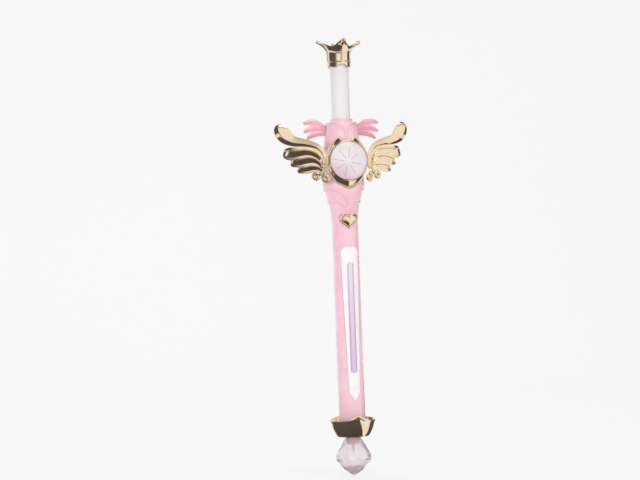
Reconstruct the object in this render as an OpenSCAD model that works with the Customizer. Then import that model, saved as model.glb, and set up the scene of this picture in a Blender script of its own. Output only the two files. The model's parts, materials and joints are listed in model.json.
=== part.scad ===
// Toy magic wand: two moulded shaft halves with a flared head, a winged heart
// round a domed gem, a light column under a crown, and a crystal pommel in a
// flared collar. Millimetres. Z runs up the shaft, the front faces -Y, and the
// origin is the middle of the grip on the shaft's axis.

/* [Shaft] */
// Outside diameter of the straight shaft
shaft_d = 24; // [22.5:0.5:26]
// Wall thickness of the moulded shells
wall = 1.8; // [1.5:0.1:2]
// Straight shaft below the middle of the grip
grip_below = 94; // [92:1:110]
// Straight shaft between the battery cover and the flare
grip_above = 38.7; // [36:0.1:60]

/* [Head] */
// Height of the flare between shaft and head
flare_h = 37; // [33:1:44]
// Diameter of the head where the flare ends
head_d = 36; // [36:0.2:40]
// Height of the head from the flare to the top of its shoulder
head_h = 58; // [56:1:66]
// Diameter of the head at the start of the rounded shoulder
shoulder_d = 26; // [25.5:0.5:29]
// Radius of the rounded shoulder
shoulder_round = 5; // [4:0.5:6]
// Diameter of the neck ring round the light column
neck_d = 20.4; // [20:0.2:23]
// Height of the neck ring
neck_h = 3; // [2:0.5:6]
// Thickness of each moulded fold on the flare and the shoulder
fold_t = 0.6; // [0.4:0.1:0.9]

/* [Heart and gem] */
// Width of the heart frame
heart_w = 38.8; // [37.6:0.2:42]
// Height of the gem's centre above the top of the flare
gem_rise = 22.4; // [21:0.2:28]
// Diameter of the gem that shows inside the frame
gem_d = 34.4; // [30:0.2:35]
// Height of the gem's dome in front of the frame
gem_dome = 5; // [3:0.5:9]
// Distance from the shaft's axis forward to the face the frame sits on
seat_y = 15; // [14:0.25:17]
// Depth of the heart frame
frame_depth = 6.5; // [5.5:0.25:9]
// Width of the flat lip round the heart frame
frame_bevel = 1; // [0.6:0.1:1.2]
// Depth of the flat lip round the heart frame
frame_lip = 1.5; // [1:0.1:2.5]
// Width of the ring round the gem at the front of the frame
frame_ring = 1; // [0.6:0.1:1.2]

/* [Wings] */
// Angle by which each wing sweeps back
wing_sweep = 20; // [5:1:24]
// Thickness of a feather in front of the wing's middle plane
feather_front = 2.6; // [1.8:0.1:3.2]
// Thickness of a feather behind the wing's middle plane
feather_back = 1.4; // [1:0.1:1.8]
// Thickness of the web between the feathers
web_t = 1.2; // [0.8:0.1:1.8]
// Length of the root tab inside the head
wing_tab = 3; // [2:0.25:3.2]

/* [Light column] */
// Outside diameter of the light column
column_d = 17; // [15:0.5:18]
// Length of column that shows between neck and crown
column_h = 47; // [40:1:60]
// Wall thickness of the light column
column_wall = 1.5; // [1:0.1:2]

/* [Crown] */
// Outside diameter of the crown's band
crown_d = 20.6; // [20:0.2:23]
// Height of the straight part of the crown
crown_band = 11; // [10:0.5:14]
// Distance from the axis to the tip of a point
crown_reach = 20; // [17:0.5:24]
// Radius of the crown's outward curve
crown_curl = 11.5; // [11:0.25:14]
// Wall thickness of the crown
crown_wall = 1.4; // [1.2:0.1:1.6]
// Distance from the axis to the hollow between two points
crown_hollow = 11.6; // [11.4:0.1:14]
// Radius of the ball on each point
crown_ball = 1.8; // [1.6:0.1:2.8]

/* [Button] */
// Width of the heart-shaped button pad
button_w = 17.6; // [16.6:0.2:19]
// Height of the button's centre above the start of the flare
button_rise = 5.8; // [4:0.2:6]
// Travel of the button
button_travel = 1; // [0.5:0.1:1.2]

/* [Front panel] */
// Width of the front panel at its upper end
panel_w = 16; // [14:0.2:17]
// Width of the front panel at its lower end
panel_foot_w = 10; // [8.5:0.1:13]
// Length of the front panel's straight sides
panel_len = 132; // [124:1:136]
// Height of the panel's straight sides above the shaft's lower end
panel_rise = 38; // [36:1:44]
// Length of the pointed lower end of the panel
panel_point = 8; // [4:0.5:10]
// Width of the light strip
strip_w = 5.8; // [4.5:0.1:7]
// Length of the light strip
strip_len = 100; // [80:1:108]

/* [Batteries] */
// Diameter of a cell
cell_d = 14.5; // [14:0.1:14.5]
// Length of a cell with its nub
cell_len = 50.5; // [44:0.5:51]
// Room for the spring under the cells
spring_h = 6.5; // [5:0.5:8]
// Height of the battery cover's lower edge above the shaft's lower end
cover_rise = 26; // [24:1:30]
// Width of the battery cover
cover_w = 16; // [15.5:0.1:17]

/* [Collar and crystal] */
// Largest outside diameter of the collar
collar_d = 41.2; // [38:0.2:46]
// Diameter of the collar's lower edge
collar_foot_d = 30; // [29:0.2:33]
// Height of the collar's sides above its lower edge
collar_side_h = 15; // [11:0.5:17]
// Height of the collar's front point above its lower edge
collar_point_h = 20.5; // [19:0.5:24]
// Wall thickness of the collar
collar_wall = 1.4; // [1:0.1:1.8]
// Largest diameter of the crystal
crystal_d = 33; // [28:0.5:38]
// Height of the crystal
crystal_h = 34; // [28:1:40]

/* [Fits] */
// Clearance beside a piece that drops into its seat
fit = 0.2; // [0.15:0.05:0.3]
// Gap under a piece that rests on its seat
rest = 0.1; // [0.05:0.05:0.2]

/* [Hidden] */
$fn = 96;

// Colours as the photograph shows them
pink = "#f6c3d4";
rose = "#f1a9bd";
gold = "#d9b26a";
clear_pink = "#fbe6ee";
frosted = "#f7f4f6";
pearl = "#fbf3f6";
lilac = "#dfc0de";
board_green = "#3f7a4d";
steel = "#c8c8cc";
dark = "#3a3438";

// Radii
shaft_r = shaft_d / 2;
bore_r = shaft_r - wall;
head_r = head_d / 2;
shoulder_r = shoulder_d / 2;
neck_r = neck_d / 2;
column_r = column_d / 2;
crown_r = crown_d / 2;
cell_r = cell_d / 2;

// Heights along the shaft
z_shaft0 = -grip_below;
// Battery bay, from the lower edge of its cover up
cell_gap = 0.2;
end_t = 1.2;
plate_t = 0.5;
post_rise = 5;
lid_over = 2.5;
cover_z0 = z_shaft0 + cover_rise;
tray_z0 = cover_z0 + 2 * post_rise;
spring_z0 = tray_z0 + end_t;
cell_z0 = spring_z0 + spring_h;
cells_z1 = cell_z0 + 2 * cell_len + cell_gap;
tray_z1 = cells_z1 + cell_gap + plate_t + end_t;
cover_z1 = tray_z1 + lid_over;
// Flare, head and neck
z_flare0 = cover_z1 + grip_above;
shaft_len = z_flare0 - z_shaft0;
z_head0 = z_flare0 + flare_h;
z_gem = z_head0 + gem_rise;
z_shoulder = z_head0 + head_h;
z_neck1 = z_shoulder + neck_h;
z_button = z_flare0 + button_rise;

// Radius of the flare's arc, upright where it leaves the shaft
flare_R = (flare_h ^ 2 + (head_r - shaft_r) ^ 2) / (2 * (head_r - shaft_r));
// Radius of the head's barrel arc, upright where it leaves the flare
barrel_h = head_h - shoulder_round;
barrel_R = (barrel_h ^ 2 + (head_r - shoulder_r) ^ 2) / (2 * (head_r - shoulder_r));

// Larger than any half width of the wand, for cuts that pass right through
far = 60;
// Overlap of pieces that are fused, and overrun of cuts
eps = 0.5;

// Screws
screw_r = 1.2;
screw_head_r = 2.4;
screw_head_h = 1.8;
screw_gap = 0.2;
pilot_gap = 0.05;
boss_r = 3.4;
shell_screw_seat = 5;
shell_screw_depth = 4.5;
low_screw_rise = 14;
high_screw_drop = 22;
head_screw_x = head_r - wall - boss_r - 2;
shell_screw_spots = [
    [0, z_shaft0 + low_screw_rise], [0, z_flare0 - high_screw_drop],
    [-head_screw_x, z_head0], [head_screw_x, z_head0]
];
// Crossed slots in a screw's head: length, depth and width
screw_slot = [3, 1.4, 0.7];

// Body of revolution, inset from the outer skin by o
module body_2d(o) {
    translate([0, z_shaft0])
        square([shaft_r - o, shaft_len]);
    difference() {
        translate([0, z_flare0])
            square([head_r + abs(o), flare_h]);
        translate([shaft_r + flare_R, z_flare0])
            circle(flare_R + o);
    }
    intersection() {
        translate([head_r - barrel_R, z_head0])
            circle(barrel_R - o);
        translate([0, z_head0])
            square([head_r + abs(o), barrel_h]);
    }
    translate([shoulder_r - shoulder_round, z_head0 + barrel_h])
        intersection() {
            circle(shoulder_round - o);
            square(shoulder_round + abs(o));
        }
    translate([0, z_head0 + barrel_h - eps])
        square([shoulder_r - shoulder_round, shoulder_round - o + eps]);
    translate([0, z_shoulder - wall - eps])
        square([neck_r - o, neck_h + wall + eps]);
}

module body(o) {
    rotate(90)
        rotate_extrude()
            body_2d(o);
}

// Hollow inside the shells, open at the lower end
module cavity() {
    body(wall);
    translate([0, 0, z_shaft0 - eps])
        cylinder(r = bore_r, h = 2 * eps);
}

// Half spaces in front of and behind the parting plane
module front_half() {
    translate([-far, -far, z_shaft0 - far])
        cube([2 * far, far, 8 * far + head_h]);
}

module rear_half() {
    translate([-far, 0, z_shaft0 - far])
        cube([2 * far, far, 8 * far + head_h]);
}

// Stands a flat outline up in the XZ plane, from depth y0 back to y1
module upright(y0, y1) {
    translate([0, y1, 0])
        rotate([90, 0, 0])
            linear_extrude(y1 - y0)
                children();
}

// Rod along Y at x, z from y0 back to y1
module rod_y(x, z, r, y0, y1) {
    translate([x, y1, z])
        rotate([90, 0, 0])
            cylinder(r = r, h = y1 - y0);
}

// Region above a pointed ogee edge: apex at z_apex, level from side_x at z_side
module ogee_2d(z_apex, side_x, z_side, z_top) {
    rise = z_side - z_apex;
    R = (side_x ^ 2 + rise ^ 2) / (2 * rise);
    difference() {
        translate([-far, z_apex])
            square([2 * far, z_top - z_apex]);
        for (s = [-1, 1]) {
            translate([s * side_x, z_side - R])
                circle(R);
            translate([s > 0 ? side_x : -far - eps, z_apex - eps])
                square([far - side_x + eps, rise + eps]);
        }
    }
}

// Moulded folds that meet in a point at the front and the back
fold_step = 4;
fold_in = 3;
fold_drop = 13;
fold_low = [z_button + button_w * 0.41, shaft_r, z_flare0 + flare_h * 0.6];
fold_low_2 = [fold_low[0] + fold_step, head_r - fold_in, z_flare0 + flare_h * 0.9];
fold_high_2 = [z_shoulder - fold_drop, shoulder_r - fold_in, z_shoulder - shoulder_round / 5];
fold_high = [fold_high_2[0] - fold_step, shoulder_r, z_shoulder - shoulder_round / 2];

module fold(edge, layers, z_top) {
    intersection() {
        body(-layers * fold_t);
        upright(-far, far)
            ogee_2d(edge[0], edge[1], edge[2], z_top);
    }
}

module skin() {
    body(0);
    fold(fold_low, 1, z_shoulder);
    fold(fold_low_2, 2, z_shoulder);
    fold(fold_high, 3, z_shoulder);
    fold(fold_high_2, 4, z_shoulder);
}

// Tall heart round the gem, inset by o: two side arcs that cross in the tip, and
// a dip with curved sides between the two peaks
heart_half = heart_w / 2;
heart_tip = heart_half * 1.31;
heart_side_R = (heart_tip ^ 2 + heart_half ^ 2) / (2 * heart_half);
dip_z = heart_half * 0.97;
dip_R = heart_half * 1.03;
dip_x = heart_half * 0.2;
dip_up = sqrt(dip_R ^ 2 - dip_x ^ 2);

module tall_heart_2d(o) {
    difference() {
        intersection() {
            translate([heart_half - heart_side_R, 0])
                circle(heart_side_R - o);
            translate([heart_side_R - heart_half, 0])
                circle(heart_side_R - o);
        }
        intersection() {
            translate([-dip_x, dip_z + dip_up])
                circle(dip_R + o);
            translate([dip_x, dip_z + dip_up])
                circle(dip_R + o);
        }
    }
}

// Wide heart of the button, inset by o
function wide_tip(half, o) = -0.85 * half + o / 0.783;
module wide_heart_2d(half, o) {
    c = [0.47 * half, 0.2 * half];
    r = 0.53 * half - o;
    tip = [0, wide_tip(half, o)];
    reach = norm(c - tip);
    aim = atan2(c[1] - tip[1], c[0]) - asin(r / reach);
    side = tip + sqrt(reach ^ 2 - r ^ 2) * [cos(aim), sin(aim)];
    for (s = [-1, 1])
        translate([s * c[0], c[1]])
            circle(r);
    polygon([tip, side, c, [0, c[1] + r * 0.3], [-c[0], c[1]], [-side[0], side[1]]]);
}

// Slot outline with round ends, standing from z0 to z1
module slot_2d(half, z0, z1) {
    translate([-half, z0 + half])
        square([2 * half, z1 - z0 - 2 * half]);
    for (z = [z0 + half, z1 - half])
        translate([0, z])
            circle(half);
}

// Gem, reflector and board are stacked in a stepped pocket in the head
gem_r = gem_d / 2;
gem_rim = 0.7;
gem_rim_t = 2;
pocket_r = gem_r - 2.2;
board_t = 1.2;
pocket_floor = seat_y - 5.5;
gem_wall = 1.4;
plinth_inset = 0.6;
wire_hole_r = pocket_r - 5.5;

// Wing root tabs sit in slots in the sides of the head
tab_h = 11.6;
tab_t = 2.6;
tab_y = seat_y - 2.4;
wing_gap = 0.4;
wing_x = heart_half + wing_gap;

module tab_slot() {
    for (s = [-1, 1])
        translate([s * (heart_half - plinth_inset), -tab_y, z_gem])
            cube([2 * (wing_tab + wing_gap - plinth_inset + fit), tab_t + 2 * fit,
                tab_h + 2 * fit], center = true);
}

// Flat seats on a cylinder: the panel is let into the shaft's front
panel_z0 = z_shaft0 + panel_rise;
panel_z1 = panel_z0 + panel_len;
panel_half = panel_w / 2;
panel_corner = 3;
panel_proud = 0.5;
panel_sink = 0.8;
strip_half = strip_w / 2;
strip_shift = 2;
strip_z0 = panel_z0 + (panel_len - strip_len) / 2 + strip_shift;
strip_z1 = strip_z0 + strip_len;
strip_step = 0.8;
strip_step_y = shaft_r - panel_sink + fit;
strip_foot_y = bore_r - 0.5;
// The strip's half-round front
strip_proud = 0.9;
strip_round = 4;

module panel_2d(o) {
    top = panel_half - o;
    foot = panel_foot_w / 2 - o;
    polygon([
        [0, panel_z0 - panel_point + o], [foot, panel_z0], [top, panel_z1 - panel_corner],
        [top - panel_corner, panel_z1 - o], [panel_corner - top, panel_z1 - o],
        [-top, panel_z1 - panel_corner], [-foot, panel_z0]
    ]);
}

// Ring of the shaft's front between two radii, inside an upright outline
module front_skin(r_in, r_out) {
    intersection() {
        difference() {
            translate([0, 0, z_shaft0])
                cylinder(r = r_out, h = shaft_len);
            translate([0, 0, z_shaft0 - eps])
                cylinder(r = r_in, h = shaft_len + 2 * eps);
        }
        upright(-far, 0)
            children();
    }
}

// Button stack, front to back
button_half = button_w / 2;
pad_y = shaft_r + 1.1;
pad_lip = 1.2;
cap_half = button_half * 0.7;
cap_gap = 0.25;
cap_proud = 2.4;
flange_t = 1;
pad_wall = 1;
stem_r = 2.2;
lip_back = pad_y - pad_lip;
flange_front = lip_back - fit;
flange_back = flange_front - flange_t;
bezel_t = 1.6;
bezel_step = 0.5;
board_y = 2.6;
switch_w = 6;
switch_t = 2.8;
plunger_r = 1.7;
plunger_up = button_travel + 0.6;
plunger_in = 0.8;
plunger_front = board_y + switch_t + plunger_up;
stem_end = plunger_front + rest;

// Circuit board behind the button
board_w = bore_r * 1.6;
board_drop = 13;
board_z0 = z_flare0 - board_drop;
board_h = 40;
board_post_r = 2.5;
board_screw_r = 1;
board_screw_head = 1.9;
board_screw_head_h = 1.2;
board_screw_in = 5.5;
board_edge = 4;
board_posts = [board_z0 + board_edge, board_z0 + board_h - board_edge];

// Light column and what carries it
ledge_r = column_r;
flange_w = 1.2;
flange_r = column_r + flange_w;
flange_z1 = z_shoulder - wall - rest;
flange_h = 3;
column_board_z = flange_z1 - flange_h - rest - board_t;
ledge_t = 1.2;
ledge_z0 = column_board_z - rest - ledge_t;
crown_ledge = crown_band - 4;
crown_ledge_t = 1.2;
crown_z0 = z_neck1 + column_h;
column_step_z = crown_z0 + crown_ledge;
column_step = 0.9;
dome_r = column_r - column_step;

// Pink feathers pass out of the head at the parting plane
feather_t = 2.4;
feather_y = 0.3 + feather_t / 2;
bar_h = 4;
bar_z1 = ledge_z0 - 1.5;
feather_gap = 2;
feather_root = flange_r + feather_gap;
feather_slot_z1 = z_shoulder - wall;

// Speaker in the back of the head
speaker_inset = 6.5;
speaker_r = head_r - speaker_inset;
speaker_lip = 1.2;
speaker_z = z_gem - 4;
speaker_rim_t = 2.5;
speaker_front = 7;
speaker_back = speaker_front + speaker_rim_t;
speaker_wall = 1.2;
grille_r = 1.1;
grille_edge = 1;
grille_out = speaker_r - speaker_lip - grille_r - grille_edge;
grille_rings = [[1, 0], [6, grille_out / 2], [12, grille_out]];

module ring_y(z, r_in, r_out, y0, y1) {
    difference() {
        rod_y(0, z, r_out, y0, y1);
        rod_y(0, z, r_in, y0 - eps, y1 + eps);
    }
}

// Battery bay in the back of the shaft
cell_y = 2;
tray_wall = 0.8;
tray_in_r = cell_r + 0.3;
tray_out_r = tray_in_r + tray_wall;
cover_half = cover_w / 2;
hook_len = 3.2;
hook_half = 5;
hook_t = 1.4;
post_y = 7;
cover_screw_r = 1.3;
cover_screw_len = 7;
cover_screw_sink = 0.6;
cover_screw_seat = shaft_r - cover_screw_sink - screw_head_h;
cover_hole_gap = 0.4;
strip_board_half = 5;
strip_board_back = tray_out_r - cell_y + 0.25;
strip_board_t = 1;
strip_board_over = 2;

// Hollow of the front half: it stops behind the face that the heart sits on,
// and leaves a cup round the gem's pocket
module front_cavity() {
    face = seat_y - wall;
    difference() {
        cavity();
        translate([-far, -face - far, z_gem - heart_tip - eps])
            cube([2 * far, far, 2 * (heart_tip + eps)]);
        rod_y(0, z_gem, pocket_r + wall, -far, gem_wall - pocket_floor);
    }
}

module front_shell() {
    color(pink)
    difference() {
        intersection() {
            union() {
                difference() {
                    union() {
                        skin();
                        translate([0, 0, z_gem])
                            upright(-seat_y, eps)
                                tall_heart_2d(plinth_inset);
                        translate([0, 0, z_button])
                            upright(-pad_y, -bore_r / 2)
                                wide_heart_2d(button_half, 0);
                    }
                    front_cavity();
                }
                column_ledge();
                for (p = shell_screw_spots)
                    intersection() {
                        rod_y(p[0], p[1], boss_r, -far, 0);
                        translate([-far, wall / 2 - seat_y, z_shaft0])
                            cube([2 * far, far, z_shoulder - z_shaft0]);
                        body(wall / 2);
                    }
                for (z = board_posts)
                    intersection() {
                        rod_y(0, z, board_post_r, -far, -board_y);
                        body(wall / 2);
                    }
            }
            front_half();
        }
        column_bore();
        translate([0, 0, z_gem])
            upright(-far, -seat_y)
                tall_heart_2d(-fit);
        gem_pocket();
        tab_slot();
        button_opening();
        front_skin(shaft_r - panel_sink - rest, far)
            panel_2d(-fit);
        upright(-far, -bore_r / 2)
            slot_2d(strip_half - strip_step + rest, strip_z0 + strip_step - rest,
                strip_z1 - strip_step + rest);
        for (p = shell_screw_spots)
            rod_y(p[0], p[1], screw_r + pilot_gap, -shell_screw_depth - eps, eps);
        for (z = board_posts)
            rod_y(0, z, board_screw_r + pilot_gap, -board_y - board_screw_in - eps, -board_y + eps);
    }
}

module column_ledge() {
    intersection() {
        body(wall / 2);
        translate([0, 0, ledge_z0])
            difference() {
                cylinder(r = far, h = ledge_t);
                translate([0, 0, -eps])
                    cylinder(r = ledge_r, h = ledge_t + 2 * eps);
            }
    }
}

// Bore for the light column, with room for its flange under the shoulder
module column_bore() {
    translate([0, 0, z_shoulder - wall - eps])
        cylinder(r = column_r + fit, h = wall + neck_h + 2 * eps);
    translate([0, 0, flange_z1 - flange_h])
        rotate(90)
            cylinder(r = flange_r + fit, h = flange_h + rest);
}

module gem_pocket() {
    rod_y(0, z_gem, pocket_r, -seat_y - eps, -pocket_floor);
    rod_y(0, z_gem, wire_hole_r, -pocket_floor - eps, 0);
}

module button_opening() {
    translate([0, 0, z_button]) {
        upright(-pad_y - eps, -bore_r / 2)
            wide_heart_2d(cap_half + cap_gap, 0);
        upright(-lip_back, -board_y - switch_t)
            wide_heart_2d(button_half, pad_wall);
    }
}

module rear_shell() {
    color(pink)
    difference() {
        intersection() {
            union() {
                difference() {
                    skin();
                    cavity();
                }
                column_ledge();
                for (p = shell_screw_spots)
                    intersection() {
                        rod_y(p[0], p[1], boss_r, 0, far);
                        body(wall / 2);
                    }
                intersection() {
                    union() {
                        ring_y(speaker_z, speaker_r + fit, speaker_r + fit + speaker_wall,
                            speaker_front - rest, far);
                        ring_y(speaker_z, speaker_r - speaker_lip, speaker_r + fit + eps,
                            speaker_back + rest, speaker_back + rest + speaker_wall);
                    }
                    body(wall / 2);
                }
            }
            rear_half();
        }
        column_bore();
        for (p = shell_screw_spots) {
            rod_y(p[0], p[1], screw_r + screw_gap, -eps, shell_screw_seat + eps);
            rod_y(p[0], p[1], screw_head_r + screw_gap, shell_screw_seat, far);
        }
        for (g = grille_rings)
            for (i = [0:g[0] - 1])
                rod_y(g[1] * cos(360 * i / g[0]), speaker_z + g[1] * sin(360 * i / g[0]),
                    grille_r, speaker_back, far);
        translate([-cover_half - fit, 0, cover_z0 - fit])
            cube([cover_w + 2 * fit, far, cover_z1 - cover_z0 + 2 * fit]);
        feather_slots();
    }
}

module feather_slots() {
    for (s = [-1, 1])
        translate([s > 0 ? feather_root - fit : -far, -eps, bar_z1 - bar_h - fit])
            cube([far - feather_root + fit, eps + feather_y + feather_t / 2 + fit,
                feather_slot_z1 - bar_z1 + bar_h + 2 * fit]);
}

module light_column() {
    color(frosted)
    difference() {
        union() {
            translate([0, 0, flange_z1 - flange_h])
                cylinder(r = flange_r, h = flange_h);
            translate([0, 0, flange_z1 - eps])
                cylinder(r = column_r, h = column_step_z - flange_z1 + eps);
            translate([0, 0, column_step_z - eps])
                cylinder(r = dome_r, h = crown_ledge_t + 2 * eps);
            translate([0, 0, column_step_z + crown_ledge_t + eps])
                sphere(dome_r);
        }
        translate([0, 0, flange_z1 - flange_h - eps])
            cylinder(r = column_r - column_wall, h = column_step_z - column_wall - flange_z1 + flange_h);
        translate([0, 0, column_step_z + crown_ledge_t - eps])
            sphere(dome_r - column_wall);
        translate([0, 0, column_step_z - 2 * column_wall])
            cylinder(r = dome_r - column_wall, h = 2 * column_wall + crown_ledge_t);
    }
}

// Crown: a band that curls outward into four points
crown_centre = crown_r + crown_curl;
crown_tip_half = 1.6;
crown_cut = let (d = (crown_reach ^ 2 + crown_tip_half ^ 2 - crown_hollow ^ 2)
    / (2 * (crown_reach + crown_tip_half - sqrt(2) * crown_hollow))) sqrt(2) * d;
crown_rib = 0.6;
crown_rib_angle = 10;
crown_arch_r = 7;
crown_arch = 2.6;
crown_bead = 0.8;
crown_bead_z = crown_arch + 2.4;

module crown_curl_2d(r_in, r_out) {
    intersection() {
        difference() {
            circle(r_out);
            circle(r_in);
        }
        translate([-far, 0])
            square([far - crown_centre + crown_reach, far]);
    }
}

module crown_wall_2d(outset) {
    translate([crown_r - crown_wall, 0])
        square([crown_wall + outset, crown_band]);
    translate([crown_centre, crown_band])
        crown_curl_2d(crown_curl - outset, crown_curl + crown_wall);
}

module crown() {
    ball_angle = acos((crown_centre - crown_reach) / (crown_curl + crown_wall / 2));
    ball_z = crown_band + (crown_curl + crown_wall / 2) * sin(ball_angle);
    color(gold)
    translate([0, 0, crown_z0])
    difference() {
        union() {
            difference() {
                rotate_extrude()
                    crown_wall_2d(0);
                for (a = [45:90:315])
                    rotate(a)
                        translate([crown_cut, 0, crown_band])
                            cylinder(r = crown_cut - crown_hollow, h = far);
            }
            for (a = [0:90:270])
                rotate(a) {
                    rotate(-crown_rib_angle / 2)
                        rotate_extrude(angle = crown_rib_angle)
                            intersection() {
                                crown_wall_2d(crown_rib);
                                square([crown_hollow, far]);
                            }
                    translate([crown_reach - crown_ball / 2, 0, ball_z])
                        sphere(crown_ball);
                }
            translate([0, 0, crown_bead_z])
                rotate(45)
                    rotate_extrude()
                        translate([crown_r, 0])
                            circle(crown_bead);
            translate([0, 0, crown_ledge])
                difference() {
                    cylinder(r = crown_r - crown_wall / 2, h = crown_ledge_t);
                    translate([0, 0, -eps])
                        cylinder(r = dome_r + fit, h = crown_ledge_t + 2 * eps);
                }
        }
        for (a = [0, 90])
            rotate(a)
                rod_y(0, crown_arch - crown_arch_r, crown_arch_r, -far, far);
    }
}

module column_board() {
    color(board_green)
    translate([0, 0, column_board_z])
        difference() {
            cylinder(r = flange_r, h = board_t);
            translate([-column_r / 2, 0, -eps])
                cylinder(r = 1.5, h = board_t + 2 * eps);
        }
}

led_r = 2.5;
led_h = 6;
led_foot = 0.4;
led_foot_h = 1;
module column_led() {
    color(frosted)
    translate([0, 0, column_board_z + board_t]) {
        cylinder(r = led_r + led_foot, h = led_foot_h);
        cylinder(r = led_r, h = led_h);
        translate([0, 0, led_h])
            sphere(led_r);
    }
}

// Frame: a flat lip, then a swelling slope up to the ring round the gem
frame_swell = 1.7;
frame_swell_at = 0.62;
module heart_frame() {
    lip_y = seat_y + rest + gem_rim_t + rest;
    color(gold)
    translate([0, 0, z_gem])
    difference() {
        union() {
            upright(-seat_y - frame_lip, -seat_y)
                tall_heart_2d(0);
            for (s = [0, 1])
                mirror([s, 0, 0])
                    hull() {
                        upright(-seat_y - frame_lip, -seat_y)
                            half_heart_2d(frame_bevel);
                        upright(-seat_y - frame_depth * frame_swell_at, -seat_y)
                            half_heart_2d(frame_bevel + frame_swell);
                        upright(-seat_y - frame_depth, -seat_y)
                            right_half_2d()
                                circle(gem_r + frame_ring);
                    }
        }
        rod_y(0, 0, gem_r, -far, 0);
        rod_y(0, 0, gem_r + gem_rim + fit, -lip_y, 0);
    }
}

module right_half_2d() {
    intersection() {
        children();
        translate([0, -far])
            square([far, 2 * far]);
    }
}

module half_heart_2d(o) {
    right_half_2d()
        tall_heart_2d(o);
}

// Star of fine grooves moulded in the gem's flat back
star_arms = 8;
star_turn = 11;
star_groove = 0.5;
gem_sink = 0.4;
module gem() {
    dome_R = ((gem_r - fit) ^ 2 + gem_dome ^ 2) / (2 * gem_dome);
    back = seat_y + rest;
    edge = seat_y + frame_depth - gem_sink;
    color(clear_pink)
    difference() {
        union() {
            rod_y(0, z_gem, gem_r + gem_rim, -back - gem_rim_t, -back);
            intersection() {
                translate([0, dome_R - gem_dome - edge, z_gem])
                    sphere(dome_R);
                rod_y(0, z_gem, gem_r - fit, -far, -back - eps);
            }
        }
        for (i = [0:star_arms - 1])
            translate([0, -back, z_gem])
                rotate([0, star_turn + 360 * i / star_arms, 0])
                    translate([pocket_r * 0.15, 0, 0])
                        rotate([45, 0, 0])
                            translate([0, -star_groove, -star_groove])
                                cube([pocket_r * 0.75, 2 * star_groove, 2 * star_groove]);
    }
}

module gem_reflector() {
    y_front = seat_y - rest;
    y_back = pocket_floor + board_t + 2 * rest;
    r_back = wire_hole_r - 1;
    color(steel)
    translate([0, -y_back, z_gem])
        rotate([90, 0, 0])
            difference() {
                cylinder(r1 = r_back + 1.2, r2 = pocket_r - fit, h = y_front - y_back);
                translate([0, 0, -eps])
                    cylinder(r = r_back, h = eps * 2);
                translate([0, 0, eps - 0.001])
                    cylinder(r1 = r_back, r2 = pocket_r - fit - 1, h = y_front - y_back - eps + 0.002);
            }
}

module gem_board() {
    color(board_green)
        rod_y(0, z_gem, pocket_r - fit, -pocket_floor - rest - board_t, -pocket_floor - rest);
}

gem_led_r = 1.5;
gem_led_h = 1.6;
gem_led_ring = wire_hole_r / 2;
module gem_leds() {
    y_face = pocket_floor + rest + board_t;
    color(frosted)
    for (a = [90:120:330])
        translate([gem_led_ring * cos(a), -y_face, z_gem + gem_led_ring * sin(a)])
            rotate([90, 0, 0]) {
                cylinder(r = gem_led_r, h = gem_led_h);
                translate([0, 0, gem_led_h])
                    sphere(gem_led_r);
            }
}

// Lofted feather: a curve of [u, v, half width] points in the wing's plane
function pick(list, i) = list[max(0, min(len(list) - 1, i))];
function curve(list, s) =
    let (i = min(floor(s), len(list) - 2), t = s - i,
        a = pick(list, i - 1), b = pick(list, i), c = pick(list, i + 1), d = pick(list, i + 2))
    0.5 * (2 * b + (c - a) * t + (2 * a - 5 * b + 4 * c - d) * t ^ 2
        + (3 * b - a - 3 * c + d) * t ^ 3);
function along(list, f) = curve(list, f * (len(list) - 1));
function heading(list, f) =
    let (d = along(list, min(f + 0.02, 1)) - along(list, max(f - 0.02, 0)))
    [d[0], d[1]] / norm([d[0], d[1]]);
function ring_sides(n, m) = [
    for (k = [0:n - 1], j = [0:m - 1], half = [0, 1])
        let (a = k * m + j, b = k * m + (j + 1) % m)
        half == 0 ? [a, b, b + m] : [a, b + m, a + m]
];
function ring_caps(n, m) = concat(
    [for (j = [1:m - 2]) [0, j + 1, j]],
    [for (j = [1:m - 2]) [n * m, n * m + j, n * m + j + 1]]
);

feather_rings = 12;
curl_rings = 20;
feather_sides = 10;
module feather(path, front, back, rings = feather_rings) {
    points = [
        for (k = [0:rings])
            let (f = k / rings, p = along(path, f), h = heading(path, f),
                w = p[2] * (k == rings ? 0.35 : k == rings - 1 ? 0.78 : 1),
                slim = min(1, w / front))
            for (j = [0:feather_sides - 1])
                let (a = 360 * j / feather_sides, t = sin(a) > 0 ? front * slim : back * slim)
                [p[0] + h[1] * w * cos(a), -t * sin(a), p[1] - h[0] * w * cos(a)]
    ];
    polyhedron(points, concat(ring_sides(rings, feather_sides), ring_caps(rings, feather_sides)),
        convexity = 4);
}

module web_disc(path, f) {
    p = along(path, f);
    translate([p[0], feather_back * 0.8, p[1]])
        rotate([90, 0, 0])
            cylinder(r = 0.8, h = web_t, $fn = 16);
}

// Webs that close the gaps between neighbouring feathers
module webs(paths, stops) {
    for (i = [0:len(paths) - 2], k = [0:len(stops) - 2])
        hull() {
            web_disc(paths[i], stops[k]);
            web_disc(paths[i], stops[k + 1]);
            web_disc(paths[i + 1], stops[k]);
            web_disc(paths[i + 1], stops[k + 1]);
        }
}

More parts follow.
